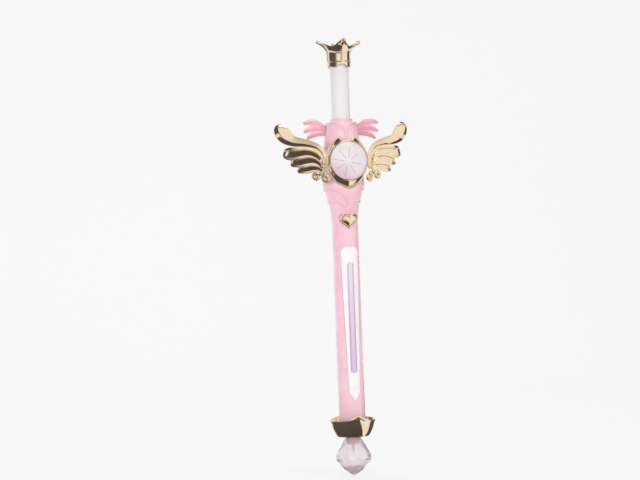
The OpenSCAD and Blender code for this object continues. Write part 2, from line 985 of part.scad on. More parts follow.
// Wing feathers from the leading one down, as [out, up, half width] from the root
wing_feathers = [
    [[0.9, -8, 0.8], [0.8, -1, 1], [1.7, 6.6, 1.6], [7.2, 13.2, 2.3], [17, 16.9, 3.1],
        [28.5, 19.2, 4.4], [36.5, 24, 6.3], [41, 31, 5]],
    [[3.2, -4, 1], [5.2, 2.2, 1.5], [10, 6.6, 2.2], [17, 8.7, 2.5], [25, 8.1, 3.1],
        [32, 7.5, 3.6], [37.4, 8.7, 1.8]],
    [[3.3, -6.5, 1], [6, -1.8, 1.6], [11, 1.2, 2.3], [17, 1.4, 2.9], [23, -0.1, 2.9],
        [28, -0.8, 2], [31, -0.6, 1]],
    [[3.4, -8.5, 1], [7.5, -6, 1.7], [12.5, -5.6, 2.3], [18, -6.7, 2.4], [22.5, -7.2, 1.6],
        [25.2, -6.8, 0.8]]
];
// Two scrolls under the feathers, each from its root into a closing spiral
scroll_steps = 9;
scroll_w = 1.5;
function scroll(root, centre, r, start) = concat([root], [
    for (k = [0:scroll_steps])
        let (f = k / scroll_steps, a = start - 420 * f, q = r * (1 - 0.8 * f))
        [centre[0] + q * cos(a), centre[1] + q * sin(a), scroll_w * (1 - 0.3 * f)]
]);
wing_scrolls = [
    scroll([3.6, -9.4, 1.1], [8.8, -13.2], 2.7, 140),
    scroll([2.2, -9.6, 1.1], [0.2, -15], 2.7, 70)
];
wing_y = seat_y + 0.7;
tab_out = 4.5;

module wing() {
    for (p = wing_feathers)
        feather(p, feather_front, feather_back);
    for (p = wing_scrolls)
        feather(p, feather_front, feather_back, curl_rings);
    webs(wing_feathers, [0, 0.3, 0.55, 0.8]);
}

module right_wing() {
    tab_in = wing_tab + wing_gap - plinth_inset;
    color(gold)
    translate([wing_x, 0, z_gem]) {
        translate([0, -wing_y, 0])
            rotate(wing_sweep)
                wing();
        translate([-tab_in, -tab_y - tab_t / 2, -tab_h / 2])
            cube([tab_in + tab_out, tab_t, tab_h]);
    }
}

module left_wing() {
    mirror([1, 0, 0])
        right_wing();
}

// Pink feathers behind the wings, as [out, up, half width] from the axis and the bar
pink_root = 11.5;
pink_feathers = [
    [[12.6, 6.8, 1.3], [17.4, 10, 2.3], [23.5, 13.2, 2.9], [30, 13.8, 2.5], [35.5, 12.6, 1]],
    [[12.2, 5, 1.5], [18, 7.4, 2.6], [24.5, 8.4, 2.9], [30.5, 7, 2.4], [35, 4.6, 0.9]],
    [[12, 3, 1.6], [17.5, 3.8, 2.5], [23, 3.4, 2.7], [28.5, 1.2, 2.2], [32.5, -1.8, 0.8]]
];

module rear_feathers() {
    color(rose)
    translate([0, feather_y, bar_z1 - bar_h]) {
        for (s = [0, 1])
            mirror([s, 0, 0])
                translate([feather_root - pink_root, 0, 0]) {
                    for (p = pink_feathers)
                        feather(p, feather_t / 2, feather_t / 2);
                    webs(pink_feathers, [0, 0.35, 0.6]);
                }
        translate([-feather_root - 2, -feather_t / 2, 0])
            cube([2 * feather_root + 4, feather_t, bar_h]);
    }
}

speaker_neck = 5;
speaker_magnet_r = 7;
module speaker_frame() {
    color(steel)
    translate([0, speaker_back, speaker_z])
        rotate([90, 0, 0])
            difference() {
                union() {
                    cylinder(r = speaker_r, h = speaker_rim_t);
                    translate([0, 0, speaker_rim_t - 0.01])
                        cylinder(r1 = speaker_r - 1, r2 = speaker_magnet_r + 0.5,
                            h = speaker_neck - speaker_rim_t);
                }
                translate([0, 0, -eps])
                    cylinder(r = speaker_r - 1.6, h = 1.2 + eps);
                translate([0, 0, 1.2 - 0.01])
                    cylinder(r1 = speaker_r - 2.2, r2 = speaker_magnet_r - 1.5, h = speaker_neck - 2);
            }
}

module speaker_magnet() {
    color(dark)
        rod_y(0, speaker_z, speaker_magnet_r, speaker_back - speaker_neck - 3.5,
            speaker_back - speaker_neck);
}

module speaker_cone() {
    color(dark)
    translate([0, speaker_back - 1.2 + 0.01, speaker_z])
        rotate([90, 0, 0])
            translate([0, 0, -0.5])
                difference() {
                    cylinder(r1 = speaker_r - 2, r2 = speaker_magnet_r - 2.4, h = 3);
                    translate([0, 0, -0.5])
                        cylinder(r1 = speaker_r - 2.2, r2 = speaker_magnet_r - 2.6, h = 3);
                }
}

module button_bezel() {
    color(gold)
    translate([0, 0, z_button])
        difference() {
            union() {
                upright(-pad_y - bezel_t + bezel_step, -pad_y)
                    wide_heart_2d(button_half, 0);
                upright(-pad_y - bezel_t, -pad_y)
                    wide_heart_2d(button_half, bezel_step);
            }
            upright(-far, 0)
                wide_heart_2d(cap_half + cap_gap, 0);
        }
}

module heart_button() {
    color(gold)
    translate([0, 0, z_button]) {
        upright(-pad_y - cap_proud + bezel_step, -flange_front)
            wide_heart_2d(cap_half, 0);
        upright(-pad_y - cap_proud, -flange_front)
            wide_heart_2d(cap_half, bezel_step * 2);
        upright(-flange_front, -flange_back)
            wide_heart_2d(button_half, pad_wall + cap_gap);
        rod_y(0, 0, stem_r, -flange_back, -stem_end);
    }
}

module switch_body() {
    color(dark)
    difference() {
        translate([-switch_w / 2, -board_y - switch_t, z_button - switch_w / 2])
            cube([switch_w, switch_t, switch_w]);
        rod_y(0, z_button, plunger_r + rest, -far, -board_y - switch_t + plunger_in + button_travel + fit);
    }
}

module switch_plunger() {
    color(steel)
        rod_y(0, z_button, plunger_r, -plunger_front, -board_y - switch_t + plunger_in);
}

module main_board() {
    color(board_green)
    difference() {
        translate([-board_w / 2, -board_y, board_z0])
            cube([board_w, board_t, board_h]);
        for (z = board_posts)
            rod_y(0, z, board_screw_r + screw_gap, -far, far);
    }
}

// Blob of black resin over the sound chip
chip_r = 5;
chip_h = 1.5;
module sound_chip() {
    chip_R = (chip_r ^ 2 + chip_h ^ 2) / (2 * chip_h);
    color(dark)
    translate([0, board_t - board_y, board_z0 + board_h / 2])
        rotate([-90, 0, 0])
            intersection() {
                translate([0, 0, chip_h - chip_R])
                    sphere(chip_R);
                cylinder(r = chip_r, h = chip_h + eps);
            }
}

module board_screws() {
    color(steel)
    for (z = board_posts) {
        rod_y(0, z, board_screw_head, board_t - board_y, board_t - board_y + board_screw_head_h);
        rod_y(0, z, board_screw_r, -board_y - board_screw_in, board_t - board_y + eps);
    }
}

module front_panel() {
    color(pearl)
    difference() {
        front_skin(shaft_r - panel_sink, shaft_r + panel_proud)
            panel_2d(0);
        upright(-far, 0)
            slot_2d(strip_half + rest, strip_z0 - rest, strip_z1 + rest);
    }
}

module strip_lens() {
    crest = shaft_r + panel_proud + strip_proud;
    color(lilac)
    intersection() {
        translate([0, strip_round - crest, strip_z0 - eps])
            cylinder(r = strip_round, h = strip_len + 2 * eps);
        union() {
            upright(-far, -strip_step_y)
                slot_2d(strip_half, strip_z0, strip_z1);
            upright(-strip_step_y - eps, -strip_foot_y)
                slot_2d(strip_half - strip_step, strip_z0 + strip_step, strip_z1 - strip_step);
        }
    }
}

module strip_board() {
    color(board_green)
    translate([-strip_board_half, -strip_board_back - strip_board_t, strip_z0 - strip_board_over])
        cube([2 * strip_board_half, strip_board_t, strip_len + 2 * strip_board_over]);
}

strip_led_count = 6;
strip_led = [2.8, 0.8, 3.5];
module strip_leds() {
    pitch = strip_len / strip_led_count;
    color(frosted)
    for (i = [0:strip_led_count - 1])
        translate([0, -strip_board_back - strip_board_t - strip_led[1] / 2, strip_z0 + pitch * (i + 0.5)])
            cube(strip_led, center = true);
}

module battery_tray() {
    tray_open = cell_y + 2;
    color(pearl)
    difference() {
        union() {
            difference() {
                intersection() {
                    translate([0, cell_y, tray_z0])
                        cylinder(r = tray_out_r, h = tray_z1 - tray_z0);
                    translate([-far, -far, tray_z0])
                        cube([2 * far, far + tray_open, tray_z1 - tray_z0]);
                }
                translate([0, cell_y, tray_z0 - eps])
                    cylinder(r = tray_in_r, h = tray_z1 - tray_z0 + 2 * eps);
            }
            for (z = [tray_z0, tray_z1 - end_t])
                intersection() {
                    translate([0, 0, z])
                        cylinder(r = bore_r - fit, h = end_t);
                    translate([-far, -far, z])
                        cube([2 * far, far + post_y, end_t]);
                }
            // Post for the cover's screw, braced to the end wall
            intersection() {
                union() {
                    rod_y(0, cover_z0 + post_rise, boss_r, -far, post_y);
                    translate([-1, -far, cover_z0 + post_rise])
                        cube([2, far + post_y, tray_z0 - cover_z0 - post_rise + eps]);
                }
                translate([0, 0, cover_z0])
                    cylinder(r = bore_r - fit, h = tray_z0 - cover_z0 + eps);
            }
        }
        rod_y(0, cover_z0 + post_rise, cover_screw_r + cover_hole_gap, 0, far);
        translate([-strip_board_half - fit, -far, tray_z0 - eps])
            cube([2 * (strip_board_half + fit), far - strip_board_back + fit, tray_z1 - tray_z0 + 2 * eps]);
    }
}

nub_r = 2.75;
nub_h = 1.5;
module batteries() {
    color(steel)
    for (i = [0, 1])
        translate([0, cell_y, cell_z0 + i * (cell_len + cell_gap)]) {
            cylinder(r = cell_r, h = cell_len - nub_h);
            cylinder(r = nub_r, h = cell_len);
        }
}

// Conical spring, swept as one wire
spring_turns = 3.5;
wire_r = 0.4;
spring_r0 = 5.5;
spring_r1 = 3;
turn_rings = 8;
wire_sides = 6;
spring_steps = spring_turns * turn_rings;
function spring_at(k) =
    let (f = k / spring_steps, r = spring_r0 + (spring_r1 - spring_r0) * f, a = 360 * spring_turns * f)
    [r * cos(a), r * sin(a), rest + wire_r + (spring_h - 2 * wire_r - 2 * rest) * f];
spring_gap = min([
    for (i = [0:spring_steps], j = [0:spring_steps])
        if (j > i + turn_rings / 2) norm(spring_at(i) - spring_at(j))
]) - 2 * wire_r;
echo(least_spring_gap = spring_gap);

module battery_spring() {
    points = [
        for (k = [0:spring_steps])
            let (p = spring_at(k), a = 360 * spring_turns * k / spring_steps)
            for (j = [0:wire_sides - 1])
                let (b = 360 * j / wire_sides)
                p + wire_r * (cos(b) * [cos(a), sin(a), 0] + sin(b) * [0, 0, 1])
    ];
    color(steel)
    translate([0, cell_y, spring_z0])
        polyhedron(points, concat(ring_sides(spring_steps, wire_sides),
            ring_caps(spring_steps, wire_sides)));
}

plate_w = 10;
plate_d = 9.5;
module battery_plate() {
    color(steel)
    translate([-plate_w / 2, cell_y - plate_w / 2, cells_z1 + cell_gap])
        cube([plate_w, plate_d, plate_t]);
}

module battery_cover() {
    screw_z = cover_z0 + post_rise;
    hook_z0 = tray_z1 + 2 * fit;
    color(pink)
    difference() {
        union() {
            intersection() {
                difference() {
                    translate([0, 0, cover_z0])
                        cylinder(r = shaft_r, h = cover_z1 - cover_z0);
                    translate([0, 0, cover_z0 - eps])
                        cylinder(r = bore_r, h = cover_z1 - cover_z0 + 2 * eps);
                }
                translate([-cover_half, 0, cover_z0])
                    cube([cover_w, far, cover_z1 - cover_z0]);
            }
            // Hook that tucks under the shell above
            intersection() {
                translate([0, 0, hook_z0])
                    cylinder(r = bore_r - fit - pilot_gap, h = cover_z1 + hook_len - hook_z0);
                translate([-hook_half, bore_r - fit - hook_t, hook_z0])
                    cube([2 * hook_half, far, cover_z1 + hook_len - hook_z0]);
            }
            intersection() {
                translate([0, 0, hook_z0])
                    cylinder(r = bore_r + wall / 2, h = cover_z1 - hook_z0);
                translate([-hook_half, bore_r - fit - hook_t, hook_z0])
                    cube([2 * hook_half, far, cover_z1 - hook_z0]);
            }
            // Pad under the screw's head
            intersection() {
                rod_y(0, screw_z, boss_r, post_y + rest, far);
                translate([0, 0, cover_z0])
                    cylinder(r = bore_r + wall / 2, h = 2 * post_rise - fit);
            }
            for (i = [0:rib_count - 1])
                thumb_rib(i);
        }
        rod_y(0, screw_z, cover_screw_r + screw_gap, 0, far);
        rod_y(0, screw_z, screw_head_r + screw_gap, cover_screw_seat, far);
    }
}

// Thumb ribs across the upper end of the cover
rib_count = 5;
rib_drop = 8;
rib_pitch = 2.2;
rib_w = 1;
rib_proud = 0.5;
module thumb_rib(i) {
    translate([0, 0, cover_z1 - rib_drop - rib_pitch * i])
        intersection() {
            difference() {
                cylinder(r = shaft_r + rib_proud, h = rib_w);
                translate([0, 0, -eps])
                    cylinder(r = shaft_r - wall / 2, h = rib_w + 2 * eps);
            }
            translate([-hook_half, 0, -eps])
                cube([2 * hook_half, far, rib_w + 2 * eps]);
        }
}

module cover_screw() {
    screw_z = cover_z0 + post_rise;
    color(steel)
    difference() {
        union() {
            rod_y(0, screw_z, screw_head_r, cover_screw_seat, cover_screw_seat + screw_head_h);
            rod_y(0, screw_z, cover_screw_r, cover_screw_seat - cover_screw_len, cover_screw_seat + eps);
        }
        for (a = [0, 90])
            translate([0, cover_screw_seat + screw_head_h, screw_z])
                rotate([0, a, 0])
                    cube(screw_slot, center = true);
    }
}

module shell_screws() {
    color(steel)
    for (p = shell_screw_spots)
        difference() {
            union() {
                rod_y(p[0], p[1], screw_head_r, shell_screw_seat, shell_screw_seat + screw_head_h);
                rod_y(p[0], p[1], screw_r, -shell_screw_depth, shell_screw_seat + eps);
            }
            for (a = [0, 90])
                translate([p[0], shell_screw_seat + screw_head_h, p[1]])
                    rotate([0, a, 0])
                        cube(screw_slot, center = true);
        }
}

// Collar: a flared bowl with a pointed rim, on a floor that carries the shaft
collar_r = collar_d / 2;
collar_foot_r = collar_foot_d / 2;
floor_t = 1.8;
collar_z0 = z_shaft0 - rest - floor_t;
collar_full = 18;
collar_R = (collar_full ^ 2 + (collar_r - collar_foot_r) ^ 2) / (2 * (collar_r - collar_foot_r));
socket_h = 6;
plug_r = 6;
collar_spine = 0.4;
collar_spine_angle = 9;

module bowl_2d(o, r_in) {
    intersection() {
        translate([collar_r - collar_R, collar_full])
            circle(collar_R - o);
        translate([r_in, 0])
            square([far, collar_point_h + eps]);
    }
}

module collar() {
    color(gold)
    translate([0, 0, collar_z0])
    difference() {
        union() {
            intersection() {
                union() {
                    rotate_extrude()
                        difference() {
                            bowl_2d(0, 0);
                            bowl_2d(collar_wall, 0);
                        }
                    for (a = [-90, 90])
                        rotate(a - collar_spine_angle / 2)
                            rotate_extrude(angle = collar_spine_angle)
                                difference() {
                                    bowl_2d(-collar_spine, 0);
                                    bowl_2d(collar_wall / 2, 0);
                                }
                }
                upright(-far, far)
                    mirror([0, 1])
                        ogee_2d(-collar_point_h, collar_r * 0.82, -collar_side_h, eps);
            }
            rotate_extrude()
                intersection() {
                    bowl_2d(collar_wall / 2, 0);
                    square([shaft_r + fit + collar_wall, socket_h]);
                }
            rotate_extrude()
                intersection() {
                    bowl_2d(0, 0);
                    square([far, floor_t]);
                }
        }
        translate([0, 0, floor_t])
            cylinder(r = shaft_r + fit, h = far);
        translate([0, 0, -eps])
            cylinder(r = plug_r + fit, h = far);
    }
}

// Plug that hangs the crystal from the shaft's lower end
socket_depth = 6;
crystal_gap = 2;
crystal_top = collar_z0 - crystal_gap;
plug_head_h = 4;
module end_plug() {
    color(rose)
    difference() {
        union() {
            translate([0, 0, z_shaft0])
                cylinder(r = bore_r - fit, h = plug_head_h);
            translate([0, 0, crystal_top - socket_depth + rest])
                cylinder(r = plug_r, h = z_shaft0 - crystal_top + socket_depth - rest + eps);
        }
        translate([0, 0, crystal_top - socket_depth - eps])
            cylinder(r = screw_r + screw_gap, h = far);
    }
}

crystal_sides = 10;
half_turn = 180 / crystal_sides;
crystal_r = crystal_d / 2;
crystal_neck = 1.4;
facet_t = 0.01;
crystal_screw_in = 7;
module crystal_ring(r, z, turn) {
    translate([0, 0, z])
        rotate(turn)
            cylinder(r = r, h = facet_t, $fn = crystal_sides);
}

module crystal() {
    z_tip = crystal_top - crystal_h;
    color(clear_pink)
    difference() {
        hull() {
            crystal_ring(plug_r + crystal_neck, crystal_top - facet_t, 0);
            crystal_ring(crystal_r * 0.97, z_tip + crystal_h * 0.54, half_turn);
            crystal_ring(crystal_r, z_tip + crystal_h * 0.42, 0);
            crystal_ring(crystal_r * 0.55, z_tip + crystal_h * 0.17, half_turn);
            crystal_ring(crystal_r * 0.1, z_tip, 0);
        }
        translate([0, 0, crystal_top - socket_depth])
            cylinder(r = plug_r + fit, h = far);
        translate([0, 0, crystal_top - socket_depth - crystal_screw_in - 2 * eps])
            cylinder(r = screw_r + pilot_gap, h = far);
    }
}

module crystal_screw() {
    seat = z_shaft0 + plug_head_h;
    end = crystal_top - socket_depth - crystal_screw_in;
    color(steel) {
        translate([0, 0, seat])
            cylinder(r = screw_head_r, h = screw_head_h);
        translate([0, 0, end])
            cylinder(r = screw_r, h = seat - end + eps);
    }
}

front_shell();
rear_shell();
light_column();
crown();
column_board();
column_led();
heart_frame();
gem();
gem_reflector();
gem_board();
gem_leds();
left_wing();
right_wing();
rear_feathers();
speaker_frame();
speaker_magnet();
speaker_cone();
button_bezel();
heart_button();
switch_body();
switch_plunger();
main_board();
sound_chip();
board_screws();
front_panel();
strip_lens();
strip_board();
strip_leds();
battery_tray();
batteries();
battery_spring();
battery_plate();
battery_cover();
cover_screw();
shell_screws();
collar();
end_plug();
crystal();
crystal_screw();
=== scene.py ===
import json
import math

import bmesh
import bpy
from mathutils import Matrix, Vector


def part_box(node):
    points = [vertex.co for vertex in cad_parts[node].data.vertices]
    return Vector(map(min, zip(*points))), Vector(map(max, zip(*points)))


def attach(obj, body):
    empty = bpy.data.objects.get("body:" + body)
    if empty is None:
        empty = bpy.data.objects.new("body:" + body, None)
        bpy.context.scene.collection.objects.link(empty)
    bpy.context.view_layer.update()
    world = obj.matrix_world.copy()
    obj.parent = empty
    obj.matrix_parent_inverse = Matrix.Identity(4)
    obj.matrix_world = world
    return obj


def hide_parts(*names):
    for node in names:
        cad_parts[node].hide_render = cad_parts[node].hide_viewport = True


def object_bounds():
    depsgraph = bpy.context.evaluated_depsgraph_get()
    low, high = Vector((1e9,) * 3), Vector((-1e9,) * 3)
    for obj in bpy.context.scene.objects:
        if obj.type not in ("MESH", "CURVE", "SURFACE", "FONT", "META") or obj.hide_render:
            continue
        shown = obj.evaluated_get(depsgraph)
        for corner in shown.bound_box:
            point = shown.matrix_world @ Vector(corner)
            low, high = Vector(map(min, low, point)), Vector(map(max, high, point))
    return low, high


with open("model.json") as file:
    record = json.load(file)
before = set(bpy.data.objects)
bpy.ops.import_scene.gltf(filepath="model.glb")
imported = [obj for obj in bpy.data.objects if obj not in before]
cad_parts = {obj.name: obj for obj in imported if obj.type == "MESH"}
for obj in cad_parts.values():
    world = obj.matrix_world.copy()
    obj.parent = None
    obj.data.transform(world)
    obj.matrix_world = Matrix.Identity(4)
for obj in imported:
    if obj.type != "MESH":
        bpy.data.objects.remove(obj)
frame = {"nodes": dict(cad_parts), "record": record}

cad_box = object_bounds()
MM = 0.001


# Shader expressions

class Field:
    """A value or colour that changes over a surface. Python operators add Math nodes."""

    def __init__(self, shading, socket):
        self.shading = shading
        self.socket = socket

    def math(self, operation, *others):
        """Math node on this value and then the others."""
        values = dict(enumerate((self, *others)))
        return self.shading.node("ShaderNodeMath", {"operation": operation}, values)

    def __add__(self, other):
        return self.math("ADD", other)

    def __sub__(self, other):
        return self.math("SUBTRACT", other)

    def __rsub__(self, other):
        return self.math("MULTIPLY_ADD", -1, other)

    def __mul__(self, other):
        return self.math("MULTIPLY", other)

    __radd__ = __add__
    __rmul__ = __mul__

    def clamp(self, low, high):
        return self.math("MAXIMUM", low).math("MINIMUM", high)

    def size(self):
        """Value without its sign."""
        return self.math("ABSOLUTE")

    def ramp(self, low, high):
        """0 at low, 1 at high, smooth between."""
        return self.shading.node("ShaderNodeMapRange", {"interpolation_type": "SMOOTHSTEP"}, {
            "Value": self, "From Min": low, "From Max": high})


class Shading:
    """A node tree under construction."""

    MIX_LOW, MIX_HIGH, MIX_RESULT = 6, 7, 2        # the Mix node's colour sockets share their names

    def __init__(self, tree):
        self.tree = tree

    def node(self, kind, settings=None, inputs=None, output=0):
        """One node of any kind: settings first, then the values or links of its sockets."""
        made = self.tree.nodes.new(kind)
        for name, value in (settings or {}).items():
            setattr(made, name, value)
        for key, value in (inputs or {}).items():
            self.plug(made.inputs[key], value)
        return Field(self, made.outputs[output])

    def plug(self, socket, value):
        """Links a field to a socket, or sets the socket's own value."""
        if isinstance(value, Field):
            self.tree.links.new(value.socket, socket)
        else:
            socket.default_value = value

    def place(self):
        """Object coordinates, in metres."""
        return self.node("ShaderNodeTexCoord", output="Object")

    def along(self, axis, place=None):
        """X, Y or Z of a place, or of the surface's own place where none is given."""
        return self.node("ShaderNodeSeparateXYZ", None, {0: place or self.place()}, axis)

    def noise(self, size, detail=3.0, place=None):
        """Noise whose blotches are about size metres across."""
        return self.node("ShaderNodeTexNoise", None, {
            "Vector": place or self.place(), "Scale": 1 / size, "Detail": detail})

    def mix(self, amount, low, high):
        """Colour between low and high."""
        return self.node("ShaderNodeMix", {"data_type": "RGBA"}, {
            "Factor": amount, self.MIX_LOW: low, self.MIX_HIGH: high}, self.MIX_RESULT)

    def bump(self, field, depth):
        """Surface relief of about depth metres."""
        return self.node("ShaderNodeBump", None, {
            "Height": field, "Distance": depth, "Strength": 1.0})

    def seen_by(self, *rays):
        """1 for the named kinds of ray and 0 for any other."""
        seen, *others = (self.node("ShaderNodeLightPath", output=f"Is {ray} Ray") for ray in rays)
        for other in others:
            seen = seen.math("MAXIMUM", other)
        return seen


class Finish(Shading):
    """A material under construction."""

    def __init__(self, name):
        self.material = bpy.data.materials.new(name)
        self.material.use_nodes = True
        super().__init__(self.material.node_tree)
        self.shader = self.tree.nodes["Principled BSDF"]

    def set(self, **sockets):
        """Sets the shader's sockets, named with underscores for spaces."""
        for name, value in sockets.items():
            self.plug(self.shader.inputs[name.replace("_", " ")], value)
        return self.material


def rgb(red, green, blue):
    """Linear colour from the 0 to 255 values that a screen shows."""
    def linear(value):
        share = value / 255
        return share / 12.92 if share <= 0.04045 else ((share + 0.055) / 1.055) ** 2.4
    return (linear(red), linear(green), linear(blue), 1.0)


# Finishes

def moulded_plastic(name, pale, deep):
    """Glossy coloured moulding: faint flow marks, fine orange peel, dull patches from handling."""
    finish = Finish(name)
    flow = finish.noise(22 * MM, 4.0)
    handling = finish.noise(6 * MM, 5.0)
    peel = finish.noise(0.7 * MM, 2.0)
    return finish.set(
        Base_Color=finish.mix(flow.ramp(0.35, 0.7), pale, deep),
        Roughness=0.2 + 0.14 * handling.ramp(0.45, 0.75),
        Normal=finish.bump(peel, 0.015 * MM),
        Coat_Weight=0.35,
        Coat_Roughness=0.08,
        Subsurface_Weight=0.08,
        Subsurface_Radius=(4 * MM, 2 * MM, 2 * MM),
    )


def gold_plating():
    """Bright metallised plastic: slightly wavy, with thin spots where the plating is browner."""
    finish = Finish("gold_plating")
    thin = finish.noise(5 * MM, 4.0)
    wave = finish.noise(9 * MM, 1.0)
    haze = finish.noise(1.2 * MM)
    return finish.set(
        Base_Color=finish.mix(thin.ramp(0.4, 0.75), rgb(247, 227, 196), rgb(242, 217, 182)),
        Metallic=1.0,
        Roughness=0.08 + 0.08 * haze.ramp(0.5, 0.8),
        Normal=finish.bump(wave, 0.006 * MM),
    )


def clear_plastic(name, tint, cloud):
    """Polished clear moulding with a pink tint and faint flow clouds."""
    finish = Finish(name)
    flow = finish.noise(8 * MM)
    return finish.set(
        Base_Color=finish.mix(flow.ramp(0.35, 0.75), tint, cloud),
        Roughness=0.02 + 0.03 * flow.ramp(0.5, 0.8),
        Transmission_Weight=0.7,
        IOR=1.42,
        Coat_Weight=0.3,
    )


def gem_dome():
    """Milky dome: the fine grooves in its back are painted as a star of thin grey lines of shade, set
    left of and below its middle as they show through the dome; its lower left has pink painted shade.
    """
    arms, first_arm, star_x, star_z = 8, 0.25, -2.2 * MM, -1.2 * MM
    finish = Finish("gem_dome")
    low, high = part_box("gem")
    across = finish.along("X") - star_x
    up = finish.along("Z") - (low.z + high.z) / 2 - star_z
    reach = (across * across + up * up).math("SQRT")
    turn = up.math("ARCTAN2", across) * (arms / math.tau) + first_arm
    off_arm = (turn - turn.math("ROUND")).size() * reach * (math.tau / arms)
    # Painted shade: thin grey lines along the star's arms where the grooves at the back would show
    # dark.
    groove_shade = 1 - off_arm.ramp(0.12 * MM, 0.32 * MM)
    line = groove_shade * reach.ramp(3 * MM, 3.6 * MM) * (1 - reach.ramp(12 * MM, 13.5 * MM))
    # Painted shade: pinker towards the lower left, away from the light; the flow noise adds real
    # cloudiness.
    lower_left_shade = (across * -0.7 - up).ramp(-2 * MM, 20 * MM)
    flow = finish.noise(7 * MM)
    milk_and_shade = finish.mix(lower_left_shade * 0.8 + 0.2 * flow, rgb(253, 249, 251), rgb(250, 210, 226))
    return finish.set(
        Base_Color=finish.mix(line * 0.75, milk_and_shade, rgb(176, 160, 172)),
        Roughness=0.04 + 0.05 * flow.ramp(0.5, 0.8),
        Transmission_Weight=0.2,
        IOR=1.49,
        Coat_Weight=0.6,
        Coat_Roughness=0.03,
    )


def frosted_plastic():
    """Whitish moulding that lets light through, with a fine matt grain."""
    finish = Finish("frosted_plastic")
    grain = finish.noise(0.5 * MM)
    flow = finish.noise(15 * MM)
    return finish.set(
        Base_Color=finish.mix(flow.ramp(0.4, 0.7), rgb(254, 252, 253), rgb(251, 247, 249)),
        Roughness=0.28 + 0.12 * grain,
        Normal=finish.bump(grain, 0.01 * MM),
        Transmission_Weight=0.2,
        IOR=1.45,
    )


def pearl_plastic():
    """Pale inlay with fine pearly flakes."""
    finish = Finish("pearl_plastic")
    flake = finish.noise(0.35 * MM, 2.0)
    flow = finish.noise(12 * MM, 4.0)
    return finish.set(
        Base_Color=finish.mix(flow.ramp(0.35, 0.75), rgb(253, 248, 250), rgb(249, 236, 243)),
        Roughness=0.2 + 0.15 * flake,
        Coat_Weight=0.25,
        Normal=finish.bump(flake, 0.006 * MM),
    )


def lilac_lens():
    """Translucent half-round strip: pale along the middle as painted highlight, lilac at its edges as
    painted shade, and deeper lower down.
    """
    finish = Finish("lilac_lens")
    low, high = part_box("strip_lens")
    climb = finish.along("Z").ramp(low.z, high.z)
    edge = finish.along("X").size().ramp(1.0 * MM, 2.5 * MM)
    flow = finish.noise(9 * MM)
    # Painted highlight: the pale middle, paler towards the top.
    middle = finish.mix((climb + 0.2 * flow - 0.1).clamp(0, 1), rgb(237, 212, 238), rgb(248, 236, 248))
    return finish.set(
        # Painted shade: deeper lilac towards both edges, less so higher up.
        Base_Color=finish.mix(edge * (1 - climb * 0.35), middle, rgb(216, 178, 221)),
        Roughness=0.14 + 0.1 * flow,
        Transmission_Weight=0.15,
        IOR=1.45,
        Coat_Weight=0.4,
    )


def circuit_board():
    """Green board with paler copper tracks under the lacquer."""
    finish = Finish("circuit_board")
    tracks = finish.node("ShaderNodeTexBrick", {"offset": 0.5}, {
        "Vector": finish.place(), "Scale": 260.0, "Mortar Size": 0.06, "Mortar Smooth": 0.3}, "Fac")
    board = finish.mix(finish.noise(4 * MM), rgb(40, 96, 58), rgb(56, 120, 72))
    return finish.set(
        Base_Color=finish.mix(tracks, board, rgb(92, 150, 90)),
        Roughness=0.4 - 0.12 * tracks,
        Normal=finish.bump(tracks, 0.03 * MM),
    )


def bare_metal(name, pale, deep, rough):
    """Plain metal with scratches drawn out along the wand."""
    finish = Finish(name)
    drawn = finish.node("ShaderNodeVectorMath", {"operation": "MULTIPLY"}, {
        0: finish.place(), 1: (1.0, 1.0, 0.08)})
    scratch = finish.noise(0.4 * MM, place=drawn)
    return finish.set(
        Base_Color=finish.mix(scratch, pale, deep),
        Metallic=1.0,
        Roughness=rough + 0.15 * scratch,
        Normal=finish.bump(scratch, 0.01 * MM),
    )


def dark_plastic():
    """Dark moulding with a matt grain."""
    finish = Finish("dark_plastic")
    grain = finish.noise(0.6 * MM)
    return finish.set(
        Base_Color=finish.mix(grain, rgb(40, 37, 40), rgb(58, 54, 57)),
        Roughness=0.45 + 0.2 * grain,
        Normal=finish.bump(grain, 0.02 * MM),
    )


def cell_wrap():
    """Foil sleeve of a cell: a plain silver body with a coloured band at each lower end."""
    cells, band_end, body_start = 2, 0.27, 0.29
    finish = Finish("cell_wrap")
    low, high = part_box("batteries")
    climb = (finish.along("Z") - low.z) * (1 / ((high.z - low.z) / cells))
    crease = finish.noise(2 * MM)
    return finish.set(
        Base_Color=finish.mix(climb.math("FRACT").ramp(band_end, body_start),
                              rgb(176, 96, 132), rgb(196, 199, 206)),
        Metallic=0.6,
        Roughness=0.28 + 0.12 * crease,
        Normal=finish.bump(crease, 0.02 * MM),
    )


MATERIALS = {
    "pink_plastic": moulded_plastic("pink_plastic", rgb(252, 209, 221), rgb(248, 199, 213)),
    "rose_plastic": moulded_plastic("rose_plastic", rgb(248, 190, 205), rgb(240, 166, 188)),
    "gold_plating": gold_plating(),
    "clear_pink": clear_plastic("clear_pink", rgb(255, 249, 251), rgb(255, 238, 245)),
    "frosted_plastic": frosted_plastic(),
    "pearl_plastic": pearl_plastic(),
    "lilac_lens": lilac_lens(),
    "circuit_board": circuit_board(),
    "bright_foil": bare_metal("bright_foil", rgb(250, 247, 249), rgb(242, 236, 240), 0.3),
    "steel": bare_metal("steel", rgb(205, 204, 206), rgb(170, 168, 172), 0.25),
    "magnet": bare_metal("magnet", rgb(84, 80, 82), rgb(60, 58, 60), 0.45),
    "dark_plastic": dark_plastic(),
    "cell_case": cell_wrap(),
}
NODE_FINISHES = {"gem": gem_dome()}


def dress_nodes():
    """Gives every solid its own finish, or else the finish of its material slot."""
    slot_of = {part["node"]: part["material_slot"] for part in frame["record"]["subparts"]}
    for name, solid in frame["nodes"].items():
        solid.data.materials.clear()
        solid.data.materials.append(NODE_FINISHES.get(name) or MATERIALS[slot_of[name]])


dress_nodes()


# Pieces that are finer than their solids, in millimetres until they are made

